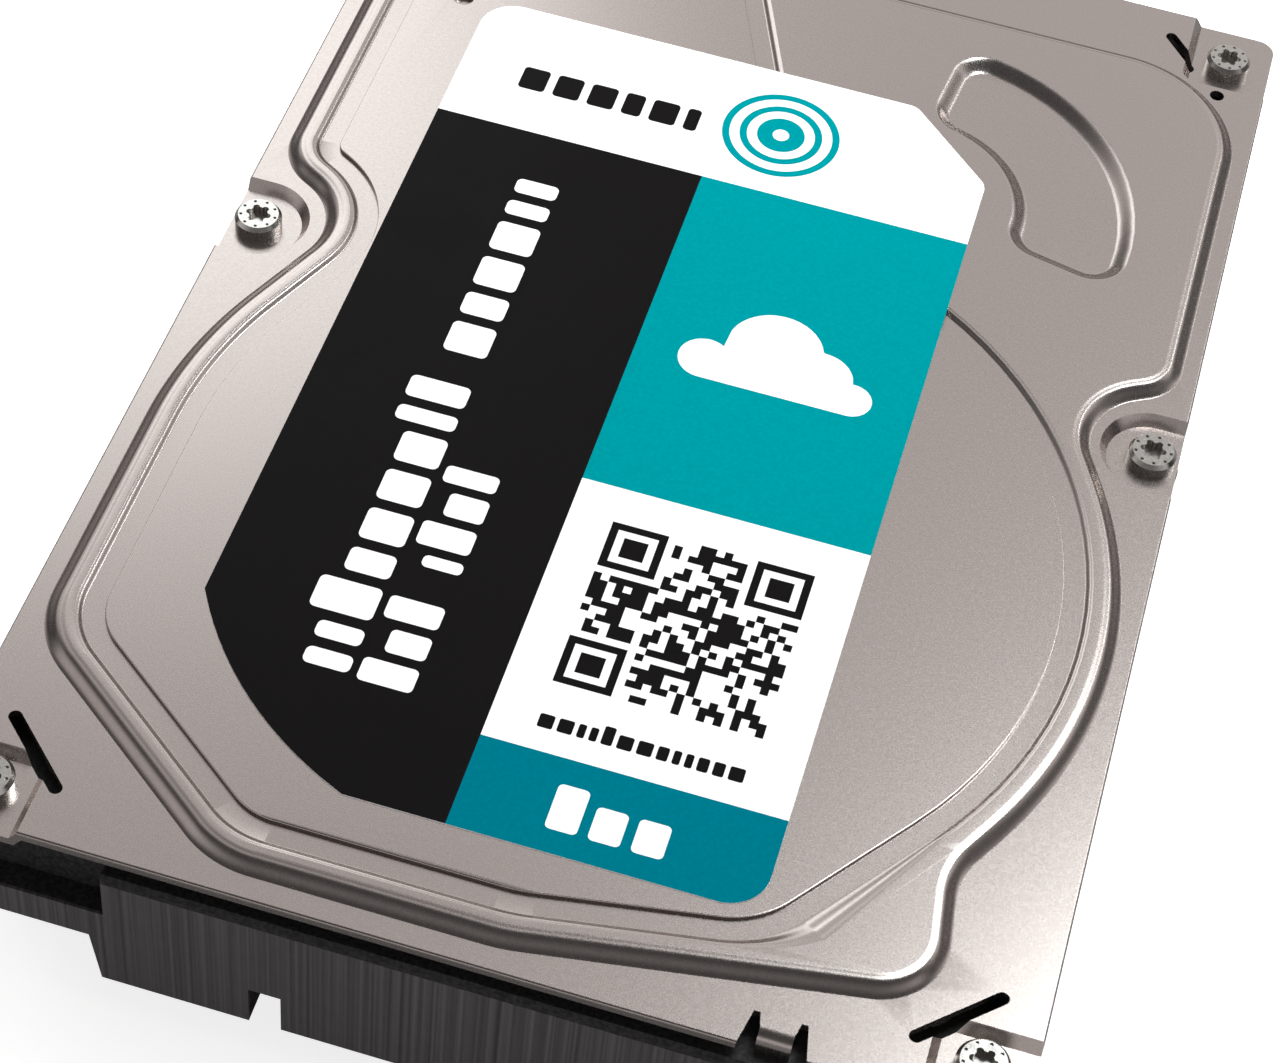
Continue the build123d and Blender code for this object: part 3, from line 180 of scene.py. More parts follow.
def lay_floor():
    """A plain pale table under the drive: one square, flat at height zero. It glows to the camera, so
    that shadows on it stay pale, and it is dark in what bright metal mirrors."""
    reach = 3.0
    mesh = bpy.data.meshes.new("table")
    mesh.from_pydata([(-reach, -reach, 0), (reach, -reach, 0), (reach, reach, 0), (-reach, reach, 0)],
                     [], [(0, 1, 2, 3)])
    table = bpy.data.objects.new("table", mesh)
    bpy.context.scene.collection.objects.link(table)
    finish, shader = new_finish("table_white", (0.9, 0.9, 0.9), roughness=0.9)
    n, link = finish.node_tree.nodes, finish.node_tree.links.new
    sight, shade = n.new("ShaderNodeLightPath"), n.new("ShaderNodeMix")
    shade.data_type = "RGBA"
    shade.inputs["A"].default_value, shade.inputs["B"].default_value = (0.9, 0.9, 0.9, 1), (0.2, 0.2, 0.2, 1)
    link(sight.outputs["Is Glossy Ray"], shade.inputs["Factor"])
    link(shade.outputs["Result"], shader.inputs["Base Color"])
    glow = joined(finish.node_tree, "MULTIPLY", sight.outputs["Is Camera Ray"], 0.7)
    shader.inputs["Emission Color"].default_value = (1.0, 1.0, 1.0, 1.0)
    link(glow, shader.inputs["Emission Strength"])
    mesh.materials.append(finish)


# ---- finishes --------------------------------------------------------------------------------------
def new_finish(name, colour, metallic=0.0, roughness=0.5, **sockets):
    """A material with one Principled shader; further sockets are given by name, with _ for a space."""
    finish = bpy.data.materials.new(name)
    finish.use_nodes = True
    shader = finish.node_tree.nodes["Principled BSDF"]
    shader.inputs["Base Color"].default_value = (*colour, 1.0)
    shader.inputs["Metallic"].default_value = metallic
    shader.inputs["Roughness"].default_value = roughness
    for socket, value in sockets.items():
        shader.inputs[socket.replace("_", " ")].default_value = value
    return finish, shader


def make_shared_grain():
    """Group: fine random grain on Object coordinates, as a value round 0.5 and a soft, larger mottle."""
    group = bpy.data.node_groups.new("fine_grain", "ShaderNodeTree")
    face = group.interface
    face.new_socket("Stretch", in_out="INPUT", socket_type="NodeSocketVector").default_value = (1, 1, 1)
    face.new_socket("Grain Scale", in_out="INPUT", socket_type="NodeSocketFloat").default_value = 4000
    face.new_socket("Mottle Scale", in_out="INPUT", socket_type="NodeSocketFloat").default_value = 120
    face.new_socket("Grain", in_out="OUTPUT", socket_type="NodeSocketFloat")
    face.new_socket("Mottle", in_out="OUTPUT", socket_type="NodeSocketFloat")
    n, link = group.nodes, group.links.new
    inside, outside = n.new("NodeGroupInput"), n.new("NodeGroupOutput")
    where = n.new("ShaderNodeTexCoord")
    stretch = n.new("ShaderNodeVectorMath")
    stretch.operation = "MULTIPLY"
    link(where.outputs["Object"], stretch.inputs[0])
    link(inside.outputs["Stretch"], stretch.inputs[1])
    for output, scale, detail in (("Grain", "Grain Scale", 2.0), ("Mottle", "Mottle Scale", 4.0)):
        noise = n.new("ShaderNodeTexNoise")
        noise.inputs["Detail"].default_value = detail
        link(stretch.outputs[0], noise.inputs["Vector"])
        link(inside.outputs[scale], noise.inputs["Scale"])
        link(noise.outputs["Fac"], outside.inputs[output])
    return group


def add_grain(finish, shader, stretch=(1, 1, 1), grain=4000.0, mottle=120.0, colours=None,
              rough=None, bump=0.0, bump_distance=0.00002):
    """Joins the shared grain to a finish: colours = (dark, light), rough = (low, high), bump = strength."""
    tree = finish.node_tree
    n, link = tree.nodes, tree.links.new
    group = n.new("ShaderNodeGroup")
    group.node_tree = bpy.data.node_groups["fine_grain"]
    group.inputs["Stretch"].default_value = stretch
    group.inputs["Grain Scale"].default_value = grain
    group.inputs["Mottle Scale"].default_value = mottle
    if colours:
        ramp = n.new("ShaderNodeValToRGB")
        ramp.color_ramp.elements[0].position, ramp.color_ramp.elements[1].position = 0.35, 0.68
        ramp.color_ramp.elements[0].color = (*colours[0], 1.0)
        ramp.color_ramp.elements[1].color = (*colours[1], 1.0)
        link(group.outputs["Grain"], ramp.inputs["Fac"])
        link(ramp.outputs["Color"], shader.inputs["Base Color"])
    if rough:
        spread = n.new("ShaderNodeMapRange")
        spread.inputs["From Min"].default_value, spread.inputs["From Max"].default_value = 0.3, 0.7
        spread.inputs["To Min"].default_value, spread.inputs["To Max"].default_value = rough
        link(group.outputs["Mottle"], spread.inputs["Value"])
        link(spread.outputs["Result"], shader.inputs["Roughness"])
    if bump:
        relief = n.new("ShaderNodeBump")
        relief.inputs["Strength"].default_value = bump
        relief.inputs["Distance"].default_value = bump_distance
        link(group.outputs["Grain"], relief.inputs["Height"])
        link(relief.outputs["Normal"], shader.inputs["Normal"])
    return group


def add_machined_and_painted_lit_wall(finish):
    """Fine upright tool lines on the casting's near wall, in a grey that is partly the machined face's own
    tone and partly painted light, made lighter because the lamps hardly reach this wall: where y is within
    0.3 mm of the near face and below the cover's edge, the colour comes from noise that changes only along x.
    The band above keeps the dark casting colour as painted shadow under the cover's edge."""
    tree = finish.node_tree
    n, link = tree.nodes, tree.links.new
    shader = n["Principled BSDF"]
    where, parts = n.new("ShaderNodeTexCoord"), n.new("ShaderNodeSeparateXYZ")
    lines = n.new("ShaderNodeGroup")
    lines.node_tree = bpy.data.node_groups["fine_grain"]
    lines.inputs["Stretch"].default_value = (1.0, 0.0, 0.004)
    lines.inputs["Grain Scale"].default_value = 2600.0
    link(where.outputs["Object"], parts.inputs[0])
    # Painted light: below 21.4 mm the near face gets a lighter grey than the casting; above it a dark band is
    # left as painted shadow under the cover's edge.
    machined_and_painted_lit_mask = joined(tree, "MULTIPLY", joined(tree, "LESS_THAN", parts.outputs["Y"], (NEAR + 0.3) * MM),
                  joined(tree, "LESS_THAN", parts.outputs["Z"], 21.4 * MM))
    machined_and_painted_lit_tone, mix = n.new("ShaderNodeValToRGB"), n.new("ShaderNodeMix")
    # Tool-line greys: the machined face's tone, lightened as painted light for a wall the lamps hardly reach.
    machined_and_painted_lit_tone.color_ramp.elements[0].position, machined_and_painted_lit_tone.color_ramp.elements[1].position = 0.3, 0.75
    machined_and_painted_lit_tone.color_ramp.elements[0].color = (0.036, 0.033, 0.034, 1.0)
    machined_and_painted_lit_tone.color_ramp.elements[1].color = (0.090, 0.084, 0.086, 1.0)
    link(lines.outputs["Grain"], machined_and_painted_lit_tone.inputs["Fac"])
    mix.data_type = "RGBA"
    link(machined_and_painted_lit_mask, mix.inputs["Factor"])
    link(shader.inputs["Base Color"].links[0].from_socket, mix.inputs["A"])
    link(machined_and_painted_lit_tone.outputs["Color"], mix.inputs["B"])
    link(mix.outputs["Result"], shader.inputs["Base Color"])


def make_finishes():
    """Every finish by the name of its slot."""
    made = {}

    def finish(name, colour, metallic=0.0, roughness=0.5, grain=None, **sockets):
        made[name], shader = new_finish(name, colour, metallic, roughness, **sockets)
        add_grain(made[name], shader, **(grain or {}))

    finish("cover_metal", (0.62, 0.545, 0.522), 1.0, 0.27,
           dict(grain=9000.0, mottle=2500.0, colours=((0.595, 0.522, 0.5), (0.655, 0.575, 0.552)),
                rough=(0.25, 0.29), bump=0.01, bump_distance=0.000005))
    finish("black_casting", (0.018, 0.017, 0.017), 0.0, 0.38,
           dict(grain=2500.0, mottle=300.0, colours=((0.012, 0.011, 0.011), (0.03, 0.028, 0.028)),
                rough=(0.3, 0.48), bump=0.3), Specular_IOR_Level=0.22)
    # Near wall: tool lines in a grey lightened as painted light, with a painted shadow band under the cover's
    # edge.
    add_machined_and_painted_lit_wall(made["black_casting"])
    finish("bright_screw", (0.72, 0.69, 0.66), 1.0, 0.22,
           dict(grain=3000.0, mottle=900.0, colours=((0.64, 0.61, 0.58), (0.74, 0.71, 0.68)),
                rough=(0.18, 0.26)))
    finish("label_paper", (0.88, 0.88, 0.88), 0.0, 0.3,
           dict(grain=3000.0, mottle=200.0, colours=((0.86, 0.86, 0.86), (0.9, 0.9, 0.9)),
                rough=(0.28, 0.36), bump=0.05))
    finish("black_rubber", (0.02, 0.02, 0.02), 0.0, 0.7,
           dict(colours=((0.015, 0.015, 0.015), (0.03, 0.03, 0.03)), rough=(0.6, 0.8), bump=0.3))
    finish("disc_plate", (0.8, 0.79, 0.78), 1.0, 0.06, dict(mottle=60.0, rough=(0.04, 0.08)))
    finish("machined_aluminium", (0.7, 0.7, 0.71), 1.0, 0.3,
           dict(stretch=(1, 1, 12), grain=1500.0, colours=((0.6, 0.6, 0.61), (0.76, 0.76, 0.77)),
                rough=(0.24, 0.36), bump=0.15))
    finish("plain_steel", (0.55, 0.54, 0.53), 1.0, 0.32,
           dict(colours=((0.48, 0.47, 0.46), (0.6, 0.59, 0.58)), rough=(0.26, 0.4), bump=0.15))
    finish("core_steel", (0.22, 0.21, 0.2), 1.0, 0.45,
           dict(stretch=(1, 1, 20), colours=((0.17, 0.16, 0.15), (0.27, 0.26, 0.25)), rough=(0.4, 0.5)))
    finish("copper_wire", (0.8, 0.36, 0.16), 1.0, 0.3,
           dict(stretch=(1, 1, 30), grain=900.0, colours=((0.6, 0.24, 0.1), (0.9, 0.45, 0.22)),
                rough=(0.22, 0.36), bump=0.5))
    finish("plated_magnet", (0.7, 0.68, 0.62), 1.0, 0.14,
           dict(colours=((0.66, 0.64, 0.58), (0.74, 0.72, 0.66)), rough=(0.1, 0.2)))
    finish("board_green", (0.012, 0.09, 0.045), 0.0, 0.3,
           dict(grain=1800.0, mottle=500.0, colours=((0.008, 0.07, 0.035), (0.016, 0.11, 0.055)),
                rough=(0.22, 0.36), bump=0.2), Coat_Weight=0.3)
    finish("chip_black", (0.015, 0.015, 0.016), 0.0, 0.5,
           dict(grain=5000.0, colours=((0.01, 0.01, 0.011), (0.025, 0.025, 0.026)), rough=(0.42, 0.56),
                bump=0.2))
    finish("component_tan", (0.32, 0.22, 0.13), 0.0, 0.45,
           dict(colours=((0.27, 0.18, 0.1), (0.37, 0.26, 0.16)), rough=(0.4, 0.5)))
    finish("black_plastic", (0.014, 0.014, 0.015), 0.0, 0.42,
           dict(grain=4000.0, colours=((0.01, 0.01, 0.011), (0.02, 0.02, 0.021)), rough=(0.36, 0.5),
                bump=0.15))
    finish("pale_plastic", (0.7, 0.66, 0.56), 0.0, 0.4,
           dict(colours=((0.66, 0.62, 0.52), (0.74, 0.7, 0.6)), rough=(0.35, 0.46)))
    finish("gold_contact", (0.95, 0.68, 0.28), 1.0, 0.2,
           dict(colours=((0.88, 0.61, 0.22), (0.98, 0.74, 0.34)), rough=(0.14, 0.26)))
    finish("grey_foam", (0.12, 0.12, 0.13), 0.0, 0.9,
           dict(grain=1500.0, colours=((0.08, 0.08, 0.09), (0.17, 0.17, 0.18)), rough=(0.85, 0.95), bump=0.7))
    finish("white_fleece", (0.8, 0.8, 0.78), 0.0, 0.9,
           dict(grain=1500.0, colours=((0.7, 0.7, 0.68), (0.86, 0.86, 0.84)), rough=(0.85, 0.95), bump=0.6))
    finish("amber_film", (0.5, 0.2, 0.03), 0.0, 0.25,
           dict(colours=((0.44, 0.17, 0.02), (0.56, 0.24, 0.05)), rough=(0.2, 0.3)))
    return made


# ---- pieces that follow the frame --------------------------------------------------------------------
def finish_skin(mesh, name, stands_for, sharp_deg):
    """Joins doubles, shades smooth up to real edges, and puts the piece in place of a node."""
    work = bmesh.new()
    work.from_mesh(mesh)
    bmesh.ops.remove_doubles(work, verts=work.verts, dist=2e-6)
    work.to_mesh(mesh)
    work.free()
    for layer in [a.name for a in mesh.attributes if a.name == "custom_normal"]:
        mesh.attributes.remove(mesh.attributes[layer])
    mesh.shade_smooth()
    mesh.set_sharp_from_angle(angle=math.radians(sharp_deg))
    mesh.materials.clear()
    mesh.materials.append(finishes[slot_of[stands_for]])
    skin = bpy.data.objects.new(name, mesh)
    bpy.context.scene.collection.objects.link(skin)
    keep = skin.modifiers.new("flat_faces_stay_flat", "WEIGHTED_NORMAL")
    keep.keep_sharp = True
    keep.weight = 80
    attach(skin, body_of[stands_for])
    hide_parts(stands_for)
    return skin


def smooth_skin(name, sharp_deg=32.0):
    """A copy of a carried-over piece with its triangles joined and shaded smooth up to real edges."""
    mesh = nodes[name].data.copy()
    if name == "top_cover":
        flatten_under_pressing(mesh)
    return finish_skin(mesh, name + "_skin", name, sharp_deg)


# ---- outlines, in millimetres ------------------------------------------------------------------------
SPINDLE = np.array((0.0, NEAR + 51.5))
PIVOT = SPINDLE + (15.7, 54.4)
MID_SCREW = (SIDE - 3.2, SPINDLE[1] + 27.9)


def towards(centre, distance, degrees):
    """The point at a distance and a direction from a centre."""
    angle = math.radians(degrees)
    return centre[0] + distance * math.cos(angle), centre[1] + distance * math.sin(angle)


def arcs_of(corners):
    """Arcs (centre x, centre y, radius, first, last angle) tangent to both sides of each corner
    (x, y, radius) of an outline; the angle falls where the outline turns clockwise."""
    corners = np.array(corners, float)
    spots, radii = corners[:, :2], corners[:, 2]
    back, ahead = np.roll(spots, 1, 0) - spots, np.roll(spots, -1, 0) - spots
    back /= np.linalg.norm(back, axis=1, keepdims=True)
    ahead /= np.linalg.norm(ahead, axis=1, keepdims=True)
    half = np.arccos(np.clip((back * ahead).sum(1), -1, 1)) / 2
    bisector = back + ahead
    bisector /= np.linalg.norm(bisector, axis=1, keepdims=True)
    centre = spots + bisector * (radii / np.sin(half))[:, None]
    start, end = (spots + side * (radii / np.tan(half))[:, None] - centre for side in (back, ahead))
    first = np.arctan2(start[:, 1], start[:, 0])
    turn = (np.arctan2(end[:, 1], end[:, 0]) - first + np.pi) % (2 * np.pi) - np.pi
    return np.column_stack([centre, radii, first, first + turn])


def along(arcs, steps):
    """Points on a chain of arcs joined by straight lines, and at each the direction out of the
    outline: away from the arc's centre, or towards it where the arc turns clockwise."""
    angle = arcs[:, 3, None] + (arcs[:, 4] - arcs[:, 3])[:, None] * np.linspace(0, 1, steps + 1)
    unit = np.stack([np.cos(angle), np.sin(angle)], -1)
    points = arcs[:, None, :2] + arcs[:, 2, None, None] * unit
    side = np.sign(arcs[:, 4] - arcs[:, 3])[:, None, None]
    return points.reshape(-1, 2), (side * unit).reshape(-1, 2)


def rounded(corners, steps=8):
    """Outline of straight sides joined by tangent arcs, without repeated points."""
    points, _ = along(arcs_of(corners), steps)
    apart = np.linalg.norm(points - np.roll(points, 1, 0), axis=1) > 1e-6
    return points[apart]


def bead_outline():
    """Foot of the cover's raised area, which steps round the two middle screws."""
    edge, bow = SIDE - 2.8, SIDE - 3.1
    x, y = MID_SCREW
    swell = towards(SPINDLE + (0.5, 0.3), bow / math.cos(math.radians(28.0)), -1.0)
    return along(arcs_of([
        (-edge, FAR - 10.2, 13.5), (-edge, y + 8.8, 6.5), (-x + 9.36, y + 3.13, 7.4),
        (-edge, y - 19.9, bow), (-edge, NEAR + 21.8, 10.0), (-SIDE + 27.0, NEAR + 3.3, 11.0),
        (3.0, NEAR + 3.3, 20.0), (SIDE - 9.9, NEAR + 9.9, 6.5),
        (swell[0] - 0.32 * bow, swell[1] - 0.578 * bow, 8.0), (*swell, bow), (x - 9.24, y + 3.2, 7.5),
        (edge + 0.2, y + 8.9, 5.0), (edge + 0.2, FAR - 10.2, 13.5)]), 28)


def band_outline():
    """Inner foot of the bead, which leaves a fan-shaped plateau over the actuator."""
    edge, ring_r = SIDE - 5.8, SIDE - 6.2
    x, y = MID_SCREW
    swell = towards(SPINDLE + (0.6, 0.5), ring_r / math.cos(math.radians(52.9)), 17.1)
    return along(arcs_of([
        (-edge, FAR - 13.3, 10.5), (-edge, y + 10.5, 3.5), (-x + 13.15, y + 4.4, 10.4),
        (-edge, y - 20.5, SIDE - 5.8), (-edge, NEAR + 23.3, 8.5), (-SIDE + 27.9, NEAR + 6.4, 9.0),
        (3.0, NEAR + 6.4, 20.0), (SIDE - 25.8, NEAR + 10.4, 11.0), (*swell, ring_r),
        (PIVOT[0] - 9.2, PIVOT[1] - 8.6, 12.0), (PIVOT[0] - 23.4, FAR - 13.3, 3.0)]), 28)


def sunk_patch_outline():
    """A fan about the actuator pivot with four round corners: arcs on the pivot outside and inside,
    and small arcs that touch them and the two straight ends."""
    inner, outer, first, last, corner = 13.0, 23.3, -12.0, 84.0, 2.5
    lean_out = math.degrees(math.asin(corner / (outer - corner)))
    lean_in = math.degrees(math.asin(corner / (inner + corner)))
    chain = [(*PIVOT, outer, first + lean_out, last - lean_out),
             (*towards(PIVOT, outer - corner, last - lean_out), corner, last - lean_out, last + 90),
             (*towards(PIVOT, inner + corner, last - lean_in), corner, last + 90, last - lean_in + 180),
             (*PIVOT, inner, last - lean_in, first + lean_in),
             (*towards(PIVOT, inner + corner, first + lean_in), corner, first + lean_in + 180, first + 270),
             (*towards(PIVOT, outer - corner, first + lean_out), corner, first - 90, first + lean_out)]
    arcs = np.array(chain, float)
    arcs[:, 3:] = np.radians(arcs[:, 3:])
    return along(arcs, 14)


# ---- pressed middle of the cover -----------------------------------------------------------------------
FLANGE_TOP, RAISED_TOP, BAND_TOP = 24.9, 26.0, 25.55
BEAD_FOOT, BEAD_W, BAND_W = 0.60, 1.6, 2.0
BREATHER, BREATHER_R = (12.9 - SIDE, FAR - 28.4), 1.1


def eased(count, start, end, low, high):
    """A soft step as (distance out of the outline, height) rows: height rises by 3t^2 - 2t^3."""
    t = np.linspace(0, 1, count)
    return np.column_stack([start + (end - start) * t, low + (high - low) * t * t * (3 - 2 * t)])


class Shell:
    """Points and faces of one closed surface, gathered strip by strip."""

    def __init__(self):
        self.points, self.faces, self.count = [], [], 0

    def strip(self, outline, rows, spread=None):
        """Carries a profile of (distance, height) rows round an outline; spread widens the distance
        at each point. Returns the first and the last loop as point numbers."""
        spots, normals = outline
        m, rows = len(spots), np.asarray(rows, float)
        reach = rows[:, 0, None] * (1.0 if spread is None else spread)
        places = spots + (reach + np.zeros(m))[..., None] * normals
        heights = np.broadcast_to(rows[:, 1, None, None], (len(rows), m, 1))
        self.points.append(np.concatenate([places, heights], 2).reshape(-1, 3))
        grid = self.count + np.arange(len(rows) * m).reshape(len(rows), m)
        onward = np.roll(grid, -1, 1)
        quads = np.stack([grid[:-1], onward[:-1], onward[1:], grid[1:]], -1).reshape(-1, 4)
        self.faces += quads.tolist()
        self.count += grid.size
        return grid[0], grid[-1]

    def cap(self, outer, *holes, up=True):
        """Fills the flat area inside a loop and outside its holes, facing up or down."""
        places = np.concatenate(self.points)
        loops = [outer, *holes]
        numbers = np.concatenate(loops)
        flat = [[Vector((places[i][0], places[i][1], 0.0)) for i in loop] for loop in loops]
        found = np.array(tessellate_polygon(flat))
        a, b, c = (places[numbers[found[:, k]], :2] for k in range(3))
        area = (b - a)[:, 0] * (c - a)[:, 1] - (b - a)[:, 1] * (c - a)[:, 0]
        found = found[np.abs(area) > 1e-9]
        turned = (area[np.abs(area) > 1e-9] > 0) != up
        found[turned] = found[turned][:, ::-1]
        self.faces += numbers[found].tolist()


def distance_to(points, outline):
    """How far each point is from a closed outline: the least distance to any of its sides."""
    start, side = outline, np.roll(outline, -1, 0) - outline
    offset = points[:, None] - start
    length = np.maximum((side * side).sum(1), 1e-12)
    share = np.clip((offset * side).sum(2) / length, 0, 1)
    return np.linalg.norm(offset - share[..., None] * side, axis=2).min(1)


def press_cover():
    """The raised middle of the cover: a rounded bead, a flat band, a crisp step up to the central
    pad, and a soft sunk patch over the voice-coil motor. The slope down to the band widens softly at
    the near right corner. The foot dips just under the flange."""
    shell = Shell()
    bead, band, patch = bead_outline(), band_outline(), sunk_patch_outline()
    shoulder = RAISED_TOP - 0.07
    foot = FLANGE_TOP - 0.03
    _, crest = shell.strip(bead, np.vstack([eased(13, BEAD_FOOT, -1.05, foot, shoulder),
                                            eased(5, -1.1, -BEAD_W, shoulder + 0.004, RAISED_TOP)]))
    room = distance_to(band[0], bead[0]) - BEAD_W
    x, y = band[0].T
    near_corner = np.exp(-((x - 27.0) / 15.0) ** 2 - ((y - NEAR - 12.0) / 11.0) ** 2)
    flare = 0.9 + near_corner * np.maximum(0.62 * room - 0.9, 0.0)
    lip, _ = shell.strip(band, np.vstack([eased(5, 1.0, 0.68, RAISED_TOP, shoulder),
                                          eased(9, 0.65, 0.0, shoulder - 0.004, BAND_TOP)]), spread=flare)
    shell.strip(band, [(0.0, BAND_TOP), (-BAND_W, BAND_TOP)])
    _, pad = shell.strip(band, [(-BAND_W, BAND_TOP), (-BAND_W - 0.03, RAISED_TOP - 0.08),
                                (-BAND_W - 0.07, RAISED_TOP - 0.03), (-BAND_W - 0.16, RAISED_TOP)])
    rim, floor = shell.strip(patch, eased(13, 1.6, -0.4, RAISED_TOP, FLANGE_TOP + 0.02))
    angle = np.linspace(0, 2 * np.pi, 33)[:-1]
    around = np.stack([np.cos(angle), np.sin(angle)], 1)
    mouth, pit = shell.strip((np.array(BREATHER) + BREATHER_R * around, around),
                             [(0.25, RAISED_TOP), (0.08, RAISED_TOP - 0.06), (0.0, RAISED_TOP - 0.2),
                              (0.0, RAISED_TOP - 1.0)])
    shell.cap(crest, lip, rim)
    shell.cap(pad, mouth)
    shell.cap(floor)
    shell.cap(pit)
    under, _ = shell.strip(bead, [(BEAD_FOOT, FLANGE_TOP - 0.4), (BEAD_FOOT, foot)])
    shell.cap(under, up=False)
    mesh = bpy.data.meshes.new("cover_pressing")
    mesh.from_pydata(np.concatenate(shell.points) * MM, [], shell.faces)
    return finish_skin(mesh, "cover_pressing", "top_cover", 30.0)


def inside(points, outline):
    """Which points lie inside an outline: a line to the right of each crosses it an odd number of times."""
    x, y = points[:, 0, None], points[:, 1, None]
    a, b = outline, np.roll(outline, -1, 0)
    level = (a[:, 1] > y) != (b[:, 1] > y)
    rise = np.where(np.abs(b[:, 1] - a[:, 1]) < 1e-12, 1e-12, b[:, 1] - a[:, 1])
    across = a[:, 0] + (y - a[:, 1]) / rise * (b[:, 0] - a[:, 0])
    return (level & (x < across)).sum(1) % 2 == 1


def flatten_under_pressing(mesh):
    """Presses the cover's own middle flat, just under the new surface that lies over it."""
    places = np.empty(len(mesh.vertices) * 3)
    mesh.vertices.foreach_get("co", places)
    places = places.reshape(-1, 3)
    spots, normals = bead_outline()
    middle = inside(places[:, :2] / MM, spots + 0.1 * normals)
    height = places[:, 2] / MM
    hollow = middle & (np.abs(height - (RAISED_TOP - 1.0)) < 0.002)
    places[middle & (height > FLANGE_TOP - 0.7), 2] = (FLANGE_TOP - 0.1) * MM
    places[hollow, 2] = (FLANGE_TOP - 0.8) * MM
    mesh.vertices.foreach_set("co", places.ravel())


# ---- printed label -----------------------------------------------------------------------------------
LABEL_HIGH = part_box("product_label")[1].z / MM
INK_T = 0.012
INK_GLOSS = 0.34
INKS = (("ink_black", (0.005, 0.0042, 0.0045), 0.05), ("ink_teal", (0.0, 0.25, 0.282), 0.0),
        ("ink_deep_teal", (0.0, 0.158, 0.216), 0.0), ("ink_white", (0.9, 0.9, 0.9), 0.1))
COLUMN_X = -5.4                                 # between the black panel and the right column
HEAD_Y, TEAL_LOW_Y, FOOT_Y = 26.9, -17.7, -50.2  # edges of the panels, from far to near
MARK_AT = (1.0, 36.0)
MARK_RINGS = ((6.4, 5.6), (4.5, 3.7), (2.6, 0.9))


def clipped(points, axis, limit, side):
    """The part of a convex outline beyond a straight line: its own corners there, and where each
    side crosses the line, the crossing."""
    depth = side * (points[:, axis] - limit)
    onward, depth_on = np.roll(points, -1, 0), np.roll(depth, -1)
    crosses = depth * depth_on < 0
    share = depth / np.where(crosses, depth - depth_on, 1.0)
    crossing = points + share[:, None] * (onward - points)
    return np.stack([points, crossing], 1)[np.stack([depth >= 0, crosses], 1)]


def label_outline():
    """Edge of the label: round, bevelled and one corner bowed about the spindle."""
    left, right = SPINDLE[0] - 34.9, SPINDLE[0] + 23.7
    near, far = SPINDLE[1] - 38.5, SPINDLE[1] + 67.7
    bulge = SPINDLE + 43.0 * np.array((math.cos(math.radians(229.7)), math.sin(math.radians(229.7))))
    return rounded([(left, far, 4.0), (left, near + 17.8, 0.0), (*bulge, 40.0), (left + 19.8, near, 0.0),
                    (right, near, 4.0), (right, far - 9.4, 2.0), (right - 9.7, far, 2.0)], steps=16)


def label_zone(x0, x1, y0, y1):
    """The part of the label inside a rectangle."""
    zone = label_outline()
    for axis, limit, side in ((0, x0, 1), (0, x1, -1), (1, y0, 1), (1, y1, -1)):
        zone = clipped(zone, axis, limit, side)
    return zone


def bar(x0, x1, y0, y1, radius):
    """A rounded rectangle."""
    return rounded([(x0, y0, radius), (x1, y0, radius), (x1, y1, radius), (x0, y1, radius)], steps=4)


def ring(centre, outer, inner, steps=72):
    """A flat ring as two half rings: out along one arc and back along the other."""
    halves = []
    for start in (0.0, np.pi):
        angle = np.linspace(start, start + np.pi, steps // 2 + 1)
        arc = np.stack([np.cos(angle), np.sin(angle)], 1)
        halves.append(np.concatenate([outer * arc, inner * arc[::-1]]) + centre)
    return halves


def cloud(x, y, width, height):
    """A cloud: the highest of four circles above, a straight base with two round ends below."""
    circles = np.array([(2.7, 2.7, 2.7), (9.2, 6.2, 5.0), (14.2, 4.0, 3.6), (18.0, 2.2, 2.2)])
    across = 20.2 * (0.5 - 0.5 * np.cos(np.linspace(0, np.pi, 121)))
    lift = np.sqrt(np.maximum(circles[:, 2, None] ** 2 - (across - circles[:, 0, None]) ** 2, 0))
    covered = np.abs(across - circles[:, 0, None]) <= circles[:, 2, None] + 1e-9
    top = np.where(covered, circles[:, 1, None] + lift, -1.0).max(0)
    first, last = circles[0], circles[-1]
    base = np.where(across < first[0], first[1] - lift[0], np.where(across > last[0], last[1] - lift[-1], 0))
    outline = np.concatenate([np.stack([across, base], 1), np.stack([across, top], 1)[-2:0:-1]])
    return outline * (width / 20.2, height / 11.2) + (x, y)


def word_bars(start, length, line, height, seed, gap=0.2, upright=True):
    """Plain blocks in place of a word, with no letter shapes: widths and heights vary by seed.
    start and line are the place along and across; upright runs along x, otherwise along y."""
    dice = np.random.default_rng(seed)
    count = max(2, round(length / (0.72 * height)))
    widths = dice.choice([0.62, 0.8, 1.0, 1.0], count)
    edges = start + length * np.concatenate([[0], np.cumsum(widths)]) / widths.sum()
    tall = dice.choice([0.74, 0.74, 1.0], count)
    blocks = []
    for low, high, top in zip(edges[:-1], edges[1:] - gap * height, line + height * tall):
        corner = 0.1 * height
        blocks.append(bar(low, high, line, top, corner) if upright
                      else bar(2 * line - top, line, low, high, corner))
    return blocks


